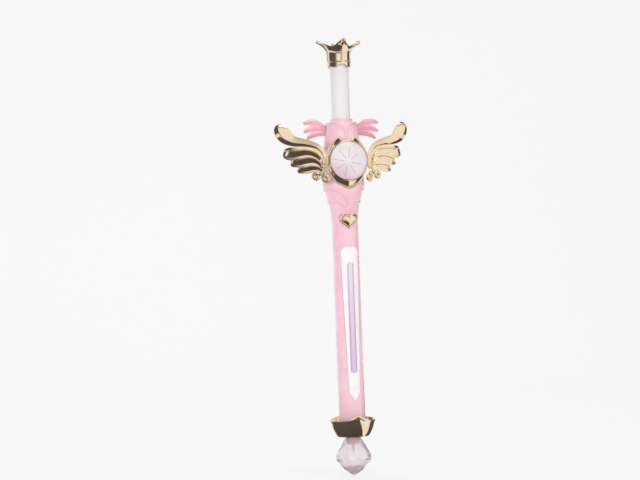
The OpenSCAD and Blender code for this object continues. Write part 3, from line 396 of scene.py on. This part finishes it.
def add_piece(name, lofts, slot, node=None, crease=35, body="wand"):
    """One mesh of lofts that rides on a body, and stands for a node where one is named.

    A loft is its rings and whether the last ring joins the first. An open loft gets end caps.
    """
    points, faces = [], []
    for rings, closed in lofts:
        first, count = len(points), len(rings[0])
        for ring in rings:
            points.extend(Vector(point) * MM for point in ring)
        pairs = list(zip(range(len(rings)), range(1, len(rings))))
        if closed:
            pairs.append((len(rings) - 1, 0))
        for low, high in pairs:
            for j in range(count):
                k = (j + 1) % count
                faces.append((first + low * count + j, first + low * count + k,
                              first + high * count + k, first + high * count + j))
        if not closed:
            faces.append(tuple(first + j for j in range(count))[::-1])
            faces.append(tuple(first + (len(rings) - 1) * count + j for j in range(count)))
    mesh = bpy.data.meshes.new(name)
    mesh.from_pydata(points, [], faces)
    shape = bmesh.new()
    shape.from_mesh(mesh)
    bmesh.ops.recalc_face_normals(shape, faces=shape.faces)
    shape.to_mesh(mesh)
    shape.free()
    mesh.shade_smooth()
    mesh.set_sharp_from_angle(angle=math.radians(crease))
    piece = bpy.data.objects.new(name, mesh)
    bpy.context.scene.collection.objects.link(piece)
    piece.data.materials.append(MATERIALS[slot])
    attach(piece, body)
    if node:
        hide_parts(node)


def spline(path, share):
    """Point on a smooth curve through the path, share 0 at its start and 1 at its end."""
    place = share * (len(path) - 1)
    i = min(int(place), len(path) - 2)
    s = place - i
    spots = (path[min(max(k, 0), len(path) - 1)] for k in range(i - 1, i + 3))
    return [0.5 * (2 * b + (c - a) * s + (2 * a - 5 * b + 4 * c - d) * s * s
                   + (3 * b - a - 3 * c + d) * s ** 3)
            for a, b, c, d in zip(*spots)]


def bow_r(depth, length):
    """Radius of an arc that gains depth over a length."""
    return (depth ** 2 + length ** 2) / (2 * depth)


# Feathers: where the root and the tip round off and the bend starts, in shares of the length
ROOT_SHARE, TIP_START, TIP_SHARE, BEND_START, BEND_SHARE = 0.03, 0.9, 0.1, 0.6, 0.4
ROD_SLOPE, LEAF_SLOPE, LEAST_CREST, LEAST_TAPER = 0.8, 0.36, 0.4, 0.05
FRONT_STEPS, BACK_STEPS, HEADING_STEP = 20, 7, 0.01


def flat_plate(across):
    """Front of a plate with rounded edges."""
    return 1 - across ** 6


def rounded(across):
    """Front of a round rod."""
    return math.sqrt(max(1 - across ** 2, 0))


def ridged(ridge):
    """Front with two nearly even faces that meet in a ridge."""
    return lambda across: min((1 - across) / (1 - ridge), (across + 1) / (1 + ridge)) ** 0.95


def feather_section(profile):
    """Outline across a feather as (across, front, back) in shares of its size."""
    section = []
    for i in range(FRONT_STEPS + 1):
        across = math.cos(math.pi * i / FRONT_STEPS)
        section.append((across, profile(across), 0))
    for i in range(1, BACK_STEPS):
        across = -math.cos(math.pi * i / BACK_STEPS)
        section.append((across, 0, math.sqrt(1 - across ** 2)))
    return section


def feather(path, place, profile, front, back, widen=0.0, lift=0.0, bend=0.0, rings=48):
    """Loft along a path of (out, up, half width), with a tip that may bend back.

    It stands at most front before the plane of its root, and back behind it.
    """
    section = feather_section(profile)
    slope = ROD_SLOPE if profile is rounded else LEAF_SLOPE
    loft = []
    for k in range(rings + 1):
        share = k / rings
        out, up, half = spline(path, share)
        ahead = spline(path, min(share + HEADING_STEP, 1))
        behind = spline(path, max(share - HEADING_STEP, 0))
        heading = Vector((ahead[0] - behind[0], ahead[1] - behind[1])).normalized()
        end = max((share - TIP_START) / TIP_SHARE, (ROOT_SHARE - share) / ROOT_SHARE, 0)
        taper = max(math.sqrt(max(1 - end ** 2, 0)), LEAST_TAPER)
        half = (half + widen) * taper
        crest = min(front, slope * half + LEAST_CREST) * taper
        bent = bend * max((share - BEND_START) / BEND_SHARE, 0) ** 2
        ring = []
        for across, rise, drop in section:
            level = -back * taper * drop if drop else crest * rise + lift * taper
            ring.append(place(out - heading.y * half * across, up + heading.x * half * across,
                              level - bent))
        loft.append(ring)
    return loft, False


def scroll(root, centre, r, start):
    """Path from a root into a closing spiral that gets thinner."""
    half, steps, sweep, closing, thinning = 1.5, 9, 420, 0.8, 0.3
    path = [root]
    for k in range(steps + 1):
        share = k / steps
        turn = math.radians(start - sweep * share)
        reach = r * (1 - closing * share)
        path.append((centre[0] + reach * math.cos(turn), centre[1] + reach * math.sin(turn),
                     half * (1 - thinning * share)))
    return path


def rounded_bar(x0, x1, y, z, half_y, half_z):
    """Bar along X with rounded long edges."""
    edge_r, arc_steps = 0.4, 3
    outline = []
    for corner, (side_y, side_z) in enumerate(((1, 1), (-1, 1), (-1, -1), (1, -1))):
        for i in range(arc_steps + 1):
            turn = math.pi / 2 * (corner + i / arc_steps)
            outline.append((y + side_y * (half_y - edge_r) + edge_r * math.cos(turn),
                            z + side_z * (half_z - edge_r) + edge_r * math.sin(turn)))
    return [[(x, *point) for point in outline] for x in (x0, x1)], False


# Wings: paths of (out, up, half width) from the root, and for each feather where its ridge runs,
# how far its plate stands out round it and how far its tip bends back
WING_FEATHERS = (
    ((0.9, -8, 0.8), (0.8, -1, 1), (1.7, 6.6, 1.6), (7.2, 13.2, 2.3), (17, 16.9, 3.1),
     (28.5, 19.2, 4.4), (35.5, 23.6, 6.4), (39.8, 29.5, 6.1), (40.6, 35.6, 3.6)),
    ((3.2, -4, 1), (5.2, 2.2, 1.5), (10, 6.6, 2.2), (17, 8.7, 2.5), (25, 8.3, 3.1),
     (32.6, 8, 3.5), (38.6, 9.8, 1.8)),
    ((3.3, -6.5, 1), (6, -1.8, 1.6), (11, 1.2, 2.3), (17, 1.5, 2.8), (23.4, 0.4, 2.9),
     (28.8, 0, 2.1), (32.2, 0.6, 1)),
    ((3.4, -8.5, 1), (7.5, -6, 1.7), (12.5, -5.4, 2.2), (18.2, -6.2, 2.3), (23, -6.5, 1.7),
     (26.2, -5.9, 0.8)),
)
WING_RIDGES = (-0.35, 0.6, 0.6, 0.6)
WING_BORDERS = (0.5, 2.3, 2.2, 2.0)
WING_BENDS = (1.2, 3.0, 2.6, 2.2)
WING_SCROLLS = (
    scroll((3.6, -9.4, 1.1), (8.9, -13.4), 3.2, 140),
    scroll((2.2, -9.6, 1.1), (0.1, -15.2), 3.2, 70),
)
SCROLL_BORDER, SCROLL_RINGS = 0.7, 96
WING_LEAF = {"front": 2.4, "back": 1.2, "lift": 0.35}
WING_ROD = {"profile": rounded, "front": 2.0, "back": 1.0, "lift": 0.2}
WING_PLATE = {"profile": flat_plate, "front": 0.1, "back": 0.7}
WING_ROOT, WING_Y, WING_SWEEP = 19.8, -15.7, math.radians(20)
TAB_IN, TAB_OUT, TAB_Y, TAB_HALF_Y, TAB_HALF_Z = 2.8, 4.5, -12.6, 1.3, 5.8
GEM_Z = 153.4


def make_wing(name, side):
    """Gold wing: ridged feathers and two scrolls on thin plates, and the tab that holds it."""
    def place(out, up, front):
        return (side * (WING_ROOT + out * math.cos(WING_SWEEP) + front * math.sin(WING_SWEEP)),
                WING_Y + out * math.sin(WING_SWEEP) - front * math.cos(WING_SWEEP), GEM_Z + up)

    lofts = []
    for path, ridge, border, bend in zip(WING_FEATHERS, WING_RIDGES, WING_BORDERS, WING_BENDS):
        lofts.append(feather(path, place, ridged(ridge), bend=bend, **WING_LEAF))
        lofts.append(feather(path, place, widen=border, bend=bend, **WING_PLATE))
    for path in WING_SCROLLS:
        lofts.append(feather(path, place, rings=SCROLL_RINGS, **WING_ROD))
        lofts.append(feather(path, place, widen=SCROLL_BORDER, rings=SCROLL_RINGS, **WING_PLATE))
    lofts.append(rounded_bar(side * (WING_ROOT - TAB_IN), side * (WING_ROOT + TAB_OUT),
                             TAB_Y, GEM_Z, TAB_HALF_Y, TAB_HALF_Z))
    add_piece(name + "_dressed", lofts, "gold_plating", name)


# Pink feathers, from the middle of the head
PINK_FEATHERS = (
    ((12.8, 6.8, 1.3), (17.6, 10, 2.3), (23.7, 13.2, 2.9), (30.2, 13.8, 2.5), (35.7, 12.6, 1)),
    ((12.4, 5, 1.5), (18.2, 7.4, 2.6), (24.7, 8.4, 2.9), (30.7, 7, 2.4), (35.2, 4.6, 0.9)),
    ((12.2, 3, 1.6), (17.7, 3.8, 2.5), (23.2, 3.4, 2.7), (28.7, 1.2, 2.2), (32.7, -1.8, 0.8)),
)
PINK_Y, PINK_Z, PINK_T, PINK_RIDGE = 1.5, 176, 1.2, 0.3
PINK_BAR_HALF, PINK_BAR_Z, PINK_BAR_HALF_Z = 13.7, 178, 2


def make_pink_feathers():
    """Rose feathers on a bar that runs through the head."""
    lofts = [rounded_bar(-PINK_BAR_HALF, PINK_BAR_HALF, PINK_Y, PINK_BAR_Z, PINK_T, PINK_BAR_HALF_Z)]
    for side in (-1, 1):
        def place(out, up, front):
            return (side * out, PINK_Y - front, PINK_Z + up)

        for path in PINK_FEATHERS:
            lofts.append(feather(path, place, ridged(PINK_RIDGE), PINK_T, PINK_T))
    add_piece("rear_feathers_dressed", lofts, "rose_plastic", "rear_feathers")


# Heart frame: two side arcs that cross in the tip, and a dip between the two peaks
HEART_HALF, HEART_SIDE_R = 19.4, 26.346
DIP_X, DIP_Z, DIP_R = 3.88, 38.42, 19.982
HEART_SEAT, HEART_LIP, HEART_DEPTH, RING_R, RING_BORE_R = 15, 1.5, 6.5, 18.2, 17.2


def ray_through(centre, r, heading):
    """Where a ray from the heart's middle enters and leaves a circle."""
    near = Vector(centre).dot(heading)
    gap = near ** 2 - Vector(centre).length_squared + r ** 2
    return None if gap < 0 else (near - math.sqrt(gap), near + math.sqrt(gap))


def heart_reach(heading, inset):
    """Distance from the gem's middle to the heart's outline."""
    side_x, side_r = HEART_HALF - HEART_SIDE_R, HEART_SIDE_R - inset
    reach = min(ray_through((s * side_x, 0), side_r, heading)[1] for s in (-1, 1))
    dips = [ray_through((s * DIP_X, DIP_Z), DIP_R + inset, heading) for s in (-1, 1)]
    if all(dips) and 0 < max(d[0] for d in dips) < min(d[1] for d in dips):
        reach = min(reach, max(d[0] for d in dips))
    return reach


def make_heart_frame():
    """Gold heart: a flat lip, then a swelling slope up to the ring round the gem."""
    around, slope_steps, slope_inset, swell = 240, 12, 1.0, 0.85
    ring_step, back_chamfer, back_inset = 1, 2.0, 0.4
    lip_edge = ((0, 0), (0, HEART_LIP - 0.3), (0.1, HEART_LIP - 0.1), (0.3, HEART_LIP),
                (0.95, HEART_LIP))
    ring_edge = ((RING_R - 0.15, HEART_DEPTH - 0.6), (RING_R - 0.4, HEART_DEPTH - 0.25),
                 (RING_R - 0.7, HEART_DEPTH - 0.06), (RING_BORE_R + 0.15, HEART_DEPTH),
                 (RING_BORE_R, HEART_DEPTH - 0.2), (RING_BORE_R, back_chamfer))
    turns = [math.tau * i / around for i in range(around)]
    headings = [Vector((math.cos(t), math.sin(t))) for t in turns]
    loops = [[(heart_reach(heading, inset), front) for heading in headings]
             for inset, front in lip_edge]
    foot = [max(heart_reach(heading, slope_inset), RING_R) - RING_R for heading in headings]
    for k in range(1, slope_steps + 1):
        share = k / slope_steps
        front = HEART_LIP + (HEART_DEPTH - ring_step - HEART_LIP) * share ** swell
        loops.append([(RING_R + beyond * (1 - share), front) for beyond in foot])
    loops.extend([edge] * around for edge in ring_edge)
    loops.append([(min(RING_BORE_R + back_chamfer, heart_reach(heading, back_inset)), 0)
                  for heading in headings])
    rings = [[(r * math.cos(t), -HEART_SEAT - front, GEM_Z + r * math.sin(t))
              for (r, front), t in zip(loop, turns)] for loop in loops]
    add_piece("heart_frame_dressed", [(rings, True)], "gold_plating", "heart_frame", crease=40)


# Heart button and its rim: two lobes and a tip, in shares of the heart's half width
BUTTON_Z, PAD_Y = 99.8, 13.1
LOBE_X, LOBE_Z, LOBE_R, TIP_Z, TIP_INSET = 0.47, 0.2, 0.53, -0.85, 0.783
RIM_HALF, CAP_HALF, HOLE_HALF, HOLE_TOP = 8.8, 6.16, 6.41, 0.7
FLANGE_INSET, FLANGE_BACK, FLANGE_FRONT = 1.25, -2.4, -1.4
CAP_EDGE, CAP_DOME, STEM_R, STEM_OVERLAP = 1.1, 1.2, 1.5, 0.2
DOME_SCALES = (0.995, 0.985, 0.96, 0.92, 0.86, 0.78, 0.66, 0.5, 0.3, 0.1)
RIM_SECTION = ((0, 0), (0, 0.9), (0.12, 1.25), (0.4, 1.5), (0.8, 1.6), (1.15, 1.5), (1.4, 1.2),
               (1.5, 0.9))


def wide_heart_reach(heading, half, inset):
    """Distance from the button's middle to the outline of a wide heart."""
    lobe, tip = Vector((LOBE_X * half, LOBE_Z * half)), Vector((0, TIP_Z * half + inset / TIP_INSET))
    lobe_r = LOBE_R * half - inset
    heading = Vector((abs(heading.x), heading.y))
    crossing = ray_through(lobe, lobe_r, heading)
    reach = crossing[1] if crossing else 0
    gap = (lobe - tip).length
    aim = math.atan2(lobe.y - tip.y, lobe.x) - math.asin(lobe_r / gap)
    edge = Vector((math.cos(aim), math.sin(aim)))
    cross = heading.x * edge.y - heading.y * edge.x
    along = (heading.y * tip.x - heading.x * tip.y) / cross if abs(cross) > 1e-6 else -1
    if 0 <= along <= math.sqrt(gap ** 2 - lobe_r ** 2):
        reach = max(reach, (tip + along * edge).length)
    return reach


def heart_loop(turns, half, front, inset=0, scale=1):
    """Outline of a wide heart in front of the button's pad."""
    loop = []
    for turn in turns:
        heading = Vector((math.cos(turn), math.sin(turn)))
        r = scale * wide_heart_reach(heading, half, inset)
        loop.append((r * heading.x, -PAD_Y - front, BUTTON_Z + r * heading.y))
    return loop


def make_button():
    """Gold heart: a domed cap on its flange and stem, and the rounded rim round it."""
    around, stem_step = 160, 5
    turns = [math.tau * (i + 0.5) / around for i in range(around)]
    stem_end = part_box("heart_button")[1].y / MM
    flange = [heart_loop(turns, RIM_HALF, front, FLANGE_INSET) for front in (FLANGE_BACK, FLANGE_FRONT)]
    cap = [heart_loop(turns, CAP_HALF, front) for front in (FLANGE_FRONT, CAP_EDGE)]
    for scale in DOME_SCALES:
        cap.append(heart_loop(turns, CAP_HALF, CAP_DOME + CAP_DOME * math.sqrt(1 - scale ** 2),
                              scale=scale))
    stem = [[(STEM_R * math.cos(t), y, BUTTON_Z + STEM_R * math.sin(t)) for t in turns[::stem_step]]
            for y in (-FLANGE_BACK - PAD_Y - STEM_OVERLAP, stem_end - STEM_OVERLAP, stem_end)]
    add_piece("heart_button_dressed", [(flange, False), (cap, False), (stem, False)],
              "gold_plating", "heart_button", crease=40, body="button")
    rim = [heart_loop(turns, RIM_HALF, front, inset) for inset, front in RIM_SECTION]
    rim.extend(heart_loop(turns, HOLE_HALF, front) for front in (HOLE_TOP, 0))
    add_piece("button_rim_dressed", [(rim, True)], "gold_plating", "button_bezel", crease=40)


# Crown: the ridge up the middle of each point, and its section as (across, proud)
CROWN_Z0, CROWN_R, CROWN_BAND, CROWN_CURL = 239.0, 10.3, 11.0, 11.5
CROWN_REACH, CROWN_BALL = 20.0, 1.6
RIDGE_FOOT, RIDGE_HALF, RIDGE_NARROWING = (5.6, 7.4, 9.2), 1.15, 0.4
RIDGE_SECTION = ((1, -0.4), (1, 0.1), (0.45, 0.5), (0, 0.85), (-0.45, 0.5), (-1, 0.1), (-1, -0.4))


def make_crown_ridges():
    """Ridge that runs up the outside of each point and ends at its ball."""
    points, steps = 4, 12
    centre = CROWN_R + CROWN_CURL
    last = math.acos((centre - CROWN_REACH + CROWN_BALL) / CROWN_CURL)
    profile = [(CROWN_R, z) for z in RIDGE_FOOT]
    for k in range(steps + 1):
        turn = last * k / steps
        profile.append((centre - CROWN_CURL * math.cos(turn), CROWN_BAND + CROWN_CURL * math.sin(turn)))
    lofts = []
    for point in range(points):
        quarter = Matrix.Rotation(point * math.pi / 2, 3, "Z")
        rings = []
        for i, (r, z) in enumerate(profile):
            before, after = profile[max(i - 1, 0)], profile[min(i + 1, len(profile) - 1)]
            along = Vector((after[0] - before[0], after[1] - before[1])).normalized()
            half = RIDGE_HALF - RIDGE_NARROWING * i / len(profile)
            rings.append([quarter @ Vector((r + along.y * proud, across * half,
                                            CROWN_Z0 + z - along.x * proud))
                          for across, proud in RIDGE_SECTION])
        lofts.append((rings, False))
    add_piece("crown_ridges", lofts, "gold_plating", crease=30)


# Collar: the thick lip along its pointed rim, and its section as (out, up)
COLLAR_Z0, COLLAR_R, COLLAR_FOOT_R, COLLAR_FULL = -95.9, 20.6, 15.0, 18.0
COLLAR_SIDE_H, COLLAR_POINT_H, COLLAR_LEVEL = 15.0, 20.5, 0.82
LIP_SECTION = ((0.0, -2.7), (0.4, -2.6), (0.65, -2.2), (0.72, -1.4), (0.66, -0.5), (0.4, 0.05),
               (-0.1, 0.2), (-0.9, 0.2), (-1.35, 0.0), (-1.5, -0.5), (-1.3, -1.6), (-0.7, -2.2))


def make_collar_lip():
    """Rounded lip that follows the collar's rim."""
    around = 288
    bow = bow_r(COLLAR_R - COLLAR_FOOT_R, COLLAR_FULL)
    level_x = COLLAR_R * COLLAR_LEVEL
    rim_r = bow_r(COLLAR_POINT_H - COLLAR_SIDE_H, level_x)
    rings = []
    for i in range(around):
        turn = math.tau * (i + 0.5) / around
        inward = max(level_x - abs(COLLAR_R * math.cos(turn)), 0)
        height = COLLAR_SIDE_H + rim_r - math.sqrt(rim_r ** 2 - inward ** 2)
        ring = []
        for out, up in LIP_SECTION:
            level = height + up
            r = COLLAR_R - bow + math.sqrt(bow ** 2 - (level - COLLAR_FULL) ** 2) + out
            ring.append((r * math.cos(turn), r * math.sin(turn), COLLAR_Z0 + level))
        rings.append(ring)
    add_piece("collar_lip", [(rings, True)], "gold_plating")


# Shells: the rolled rim along each moulded fold, as (point, half width, level, folds below it)
FOLDS = (
    (107.0, 12.0, 116.2, 1),
    (111.0, 15.0, 127.3, 2),
    (172.0, 13.0, 186.5, 3),
    (176.0, 10.0, 188.0, 4),
)
FOLD_T, FOLD_LIFT, FOLD_TURN = 0.6, 0.25, math.radians(88.5)
FOLD_RIM_R, FOLD_RIM_SUNK, FOLD_RIM_SIDES = 0.85, 0.2, 12
FLARE_Z0, HEAD_Z0, BARREL_TOP = 94.0, 131.0, 184.0
SHAFT_R, HEAD_R, SHOULDER_R, SHOULDER_ROUND = 12.0, 18.0, 13.0, 5.0


def skin_r(z, layers):
    """Radius of the shells' skin with some folds on it."""
    proud = layers * FOLD_T
    if z < HEAD_Z0:
        flare = bow_r(HEAD_R - SHAFT_R, HEAD_Z0 - FLARE_Z0)
        return SHAFT_R + flare - math.sqrt((flare - proud) ** 2 - (z - FLARE_Z0) ** 2)
    if z < BARREL_TOP:
        barrel = bow_r(HEAD_R - SHOULDER_R, BARREL_TOP - HEAD_Z0)
        return HEAD_R - barrel + math.sqrt((barrel + proud) ** 2 - (z - HEAD_Z0) ** 2)
    shoulder = math.sqrt((SHOULDER_ROUND + proud) ** 2 - (z - BARREL_TOP) ** 2)
    return SHOULDER_R - SHOULDER_ROUND + shoulder


def fold_line(point, half, level, layers):
    """Points along one half of a fold, as (turn from the front, radius, height)."""
    steps, spread, rounds = 44, 1.3, 3
    bow = bow_r(level - point, half)
    line, r = [], skin_r(point, layers)
    for k in range(steps + 1):
        turn = FOLD_TURN * (k / steps) ** spread
        for _ in range(rounds):
            inward = max(half - r * math.sin(turn), 0)
            z = level - bow + math.sqrt(bow ** 2 - inward ** 2) + FOLD_LIFT
            r = skin_r(z, layers)
        line.append((turn, r, z))
    return line


def fold_rim(line, side, facing):
    """Rings round one half of a fold, on one side of the front or of the back."""
    spots = [Vector((side * (r - FOLD_RIM_SUNK) * math.sin(turn),
                     facing * (r - FOLD_RIM_SUNK) * math.cos(turn), z)) for turn, r, z in line]
    turns = [math.tau * j / FOLD_RIM_SIDES for j in range(FOLD_RIM_SIDES)]
    rings = []
    for i, spot in enumerate(spots):
        along = (spots[min(i + 1, len(spots) - 1)] - spots[max(i - 1, 0)]).normalized()
        up = along.cross(Vector((spot.x, spot.y, 0)).normalized()).normalized()
        out = up.cross(along)
        rings.append([spot + FOLD_RIM_R * (math.cos(t) * out + math.sin(t) * up) for t in turns])
    return rings


def make_fold_rims():
    """Rolled rims of the folds, on the front and the back and on both sides."""
    lofts = []
    for fold in FOLDS:
        line = fold_line(*fold)
        for facing in (-1, 1):
            for side in (-1, 1):
                lofts.append((fold_rim(line, side, facing), False))
    add_piece("fold_rims", lofts, "pink_plastic")


make_wing("left_wing", -1)
make_wing("right_wing", 1)
make_pink_feathers()
make_heart_frame()
make_button()
make_crown_ridges()
make_collar_lip()
make_fold_rims()


# Stage, light and camera, in metres
FLOOR_Z = cad_box[0][2]
LEFT_CARD = ((0.03, -0.01), (-0.45, 0.55), (-0.9, 0.55), (-0.9, -1.0), (0.3, -1.0))
RIGHT_CARD = ((0.015, 0.0), (0.9, -0.06), (0.9, 0.5), (0.45, 0.78))
DARK_ROOM, PALE_ROOM = (0.1, 0.092, 0.105, 1), (0.95, 0.94, 0.93, 1)
PLAIN_WHITE = (0.97, 0.97, 0.97, 1)
LIGHT_AIM = Vector((0, 0, 0.07))
LAMPS = (        # name, azimuth, elevation, distance, size, watts, and whether it shows in reflections
    ("key", 48, 20, 1.1, 0.7, 2.3, False),
    ("top", 20, 70, 1.0, 0.6, 1.5, True),
    ("left_fill", -62, 10, 1.2, 0.8, 6.7, False),
    ("rear_fill", 180, 52, 1.2, 0.8, 6.0, False),
)


def stage_white(name):
    """White sweep that still takes the object's shadow."""
    whiteness, glow_share = 0.95, 0.85
    finish = Finish(name)
    finish.set(
        Base_Color=finish.mix(finish.noise(30 * MM), rgb(250, 250, 250), rgb(246, 246, 246)),
        Roughness=0.7,
    )
    white = finish.node("ShaderNodeEmission", None, {"Color": (1, 1, 1, 1), "Strength": whiteness})
    lit = Field(finish, finish.shader.outputs[0])
    mixed = finish.node("ShaderNodeMixShader", None, {
        0: finish.seen_by("Camera", "Glossy", "Transmission") * glow_share, 1: lit, 2: white})
    finish.plug(finish.tree.nodes["Material Output"].inputs["Surface"], mixed)
    return finish.material


def stage_sheet(name, points, faces, material):
    """A sheet of the stage, which isn't part of the object."""
    mesh = bpy.data.meshes.new(name)
    mesh.from_pydata(points, [], faces)
    mesh.shade_smooth()
    sheet = bpy.data.objects.new(name, mesh)
    bpy.context.scene.collection.objects.link(sheet)
    sheet.data.materials.append(material)
    return sheet


def make_floor():
    """Floor under the pommel's tip that sweeps up into a backdrop."""
    half_width, front_y, wall_y, wall_top, curve_r, steps = 1.8, -1.5, 1.4, 3.0, 0.7, 12
    profile = [(front_y, FLOOR_Z), (wall_y - curve_r, FLOOR_Z)]
    for i in range(1, steps + 1):
        turn = math.pi / 2 * i / steps
        profile.append((wall_y - curve_r + curve_r * math.sin(turn),
                        FLOOR_Z + curve_r * (1 - math.cos(turn))))
    profile.append((wall_y, wall_top))
    points = [(x, y, z) for y, z in profile for x in (-half_width, half_width)]
    faces = [(2 * i, 2 * i + 1, 2 * i + 3, 2 * i + 2) for i in range(len(profile) - 1)]
    floor = stage_sheet("floor", points, faces, stage_white("studio_white"))


def make_dark_card():
    """Dark card in two pieces on the floor, which shows only as a reflection in the gold."""
    finish = Finish("dark_card")
    paper = finish.mix(finish.noise(4 * MM), rgb(76, 72, 78), rgb(84, 79, 85))
    points = [(x, y, FLOOR_Z + MM) for x, y in LEFT_CARD + RIGHT_CARD]
    corners, split = tuple(range(len(points))), len(LEFT_CARD)
    card = stage_sheet("dark_card", points, [corners[:split], corners[split:]],
                       finish.set(Base_Color=paper, Roughness=0.9))
    card.visible_camera = card.visible_diffuse = False
    card.visible_transmission = card.visible_shadow = False


def make_world():
    """Studio for the gold to mirror: pale in front and above, lower on the right, dark elsewhere.

    The camera and the clear plastic see plain white instead.
    """
    world = bpy.data.worlds.new("studio")
    bpy.context.scene.world = world
    world.use_nodes = True
    studio = Shading(world.node_tree)
    heading = studio.node("ShaderNodeTexCoord", output="Generated")
    across, back, up = (studio.along(axis, heading) for axis in "XYZ")
    right = across.clamp(0, 1)
    in_front = 1 - (back - 0.15 * right).ramp(-0.5, -0.1)
    above = (up + 0.8 * right).ramp(-0.2, 0.06)
    ceiling = 1 - 0.6 * up.ramp(0.5, 0.75)
    room = studio.mix(across.ramp(-0.85, -0.4) * in_front * above * ceiling, DARK_ROOM, PALE_ROOM)
    seen = studio.seen_by("Camera", "Transmission")
    studio.plug(world.node_tree.nodes["Background"].inputs["Color"],
                studio.mix(seen, room, PLAIN_WHITE))


def soft_light(name, azimuth, elevation, distance, size, watts, mirrored):
    """Square lamp that faces the wand, azimuth 0 straight in front and positive to the right."""
    lamp = bpy.data.lights.new(name, "AREA")
    lamp.size = size
    lamp.energy = watts
    body = bpy.data.objects.new(name, lamp)
    bpy.context.scene.collection.objects.link(body)
    turn, lift = math.radians(azimuth), math.radians(elevation)
    toward = Vector((math.sin(turn) * math.cos(lift), -math.cos(turn) * math.cos(lift), math.sin(lift)))
    body.location = LIGHT_AIM + distance * toward
    body.rotation_euler = (-toward).to_track_quat("-Z", "Y").to_euler()
    body.visible_glossy = body.visible_transmission = mirrored


def make_camera():
    """Level camera, turned and rolled as the photograph was taken."""
    azimuth, roll = math.radians(-14.5), math.radians(-2.16)
    distance, eye_z, offset = 1.35, 0.083, 0.0233
    focal_px, frame_px, sensor_mm = 1482, 640, 36
    toward = Vector((math.sin(azimuth), -math.cos(azimuth), 0))
    right = Vector((math.cos(azimuth), math.sin(azimuth), 0))
    lens = bpy.data.cameras.new("photo_camera")
    lens.sensor_width = sensor_mm
    lens.lens = focal_px / frame_px * sensor_mm
    camera = bpy.data.objects.new("photo_camera", lens)
    bpy.context.scene.collection.objects.link(camera)
    camera.location = Vector((0, 0, eye_z)) + distance * toward - offset * right
    facing = toward.to_track_quat("Z", "Y").to_matrix()
    camera.rotation_euler = (facing @ Matrix.Rotation(roll, 3, "Z")).to_euler()
    bpy.context.scene.camera = camera


make_floor()
make_dark_card()
make_world()
for lamp_facts in LAMPS:
    soft_light(*lamp_facts)
make_camera()
bpy.context.scene.view_settings.view_transform = "Standard"
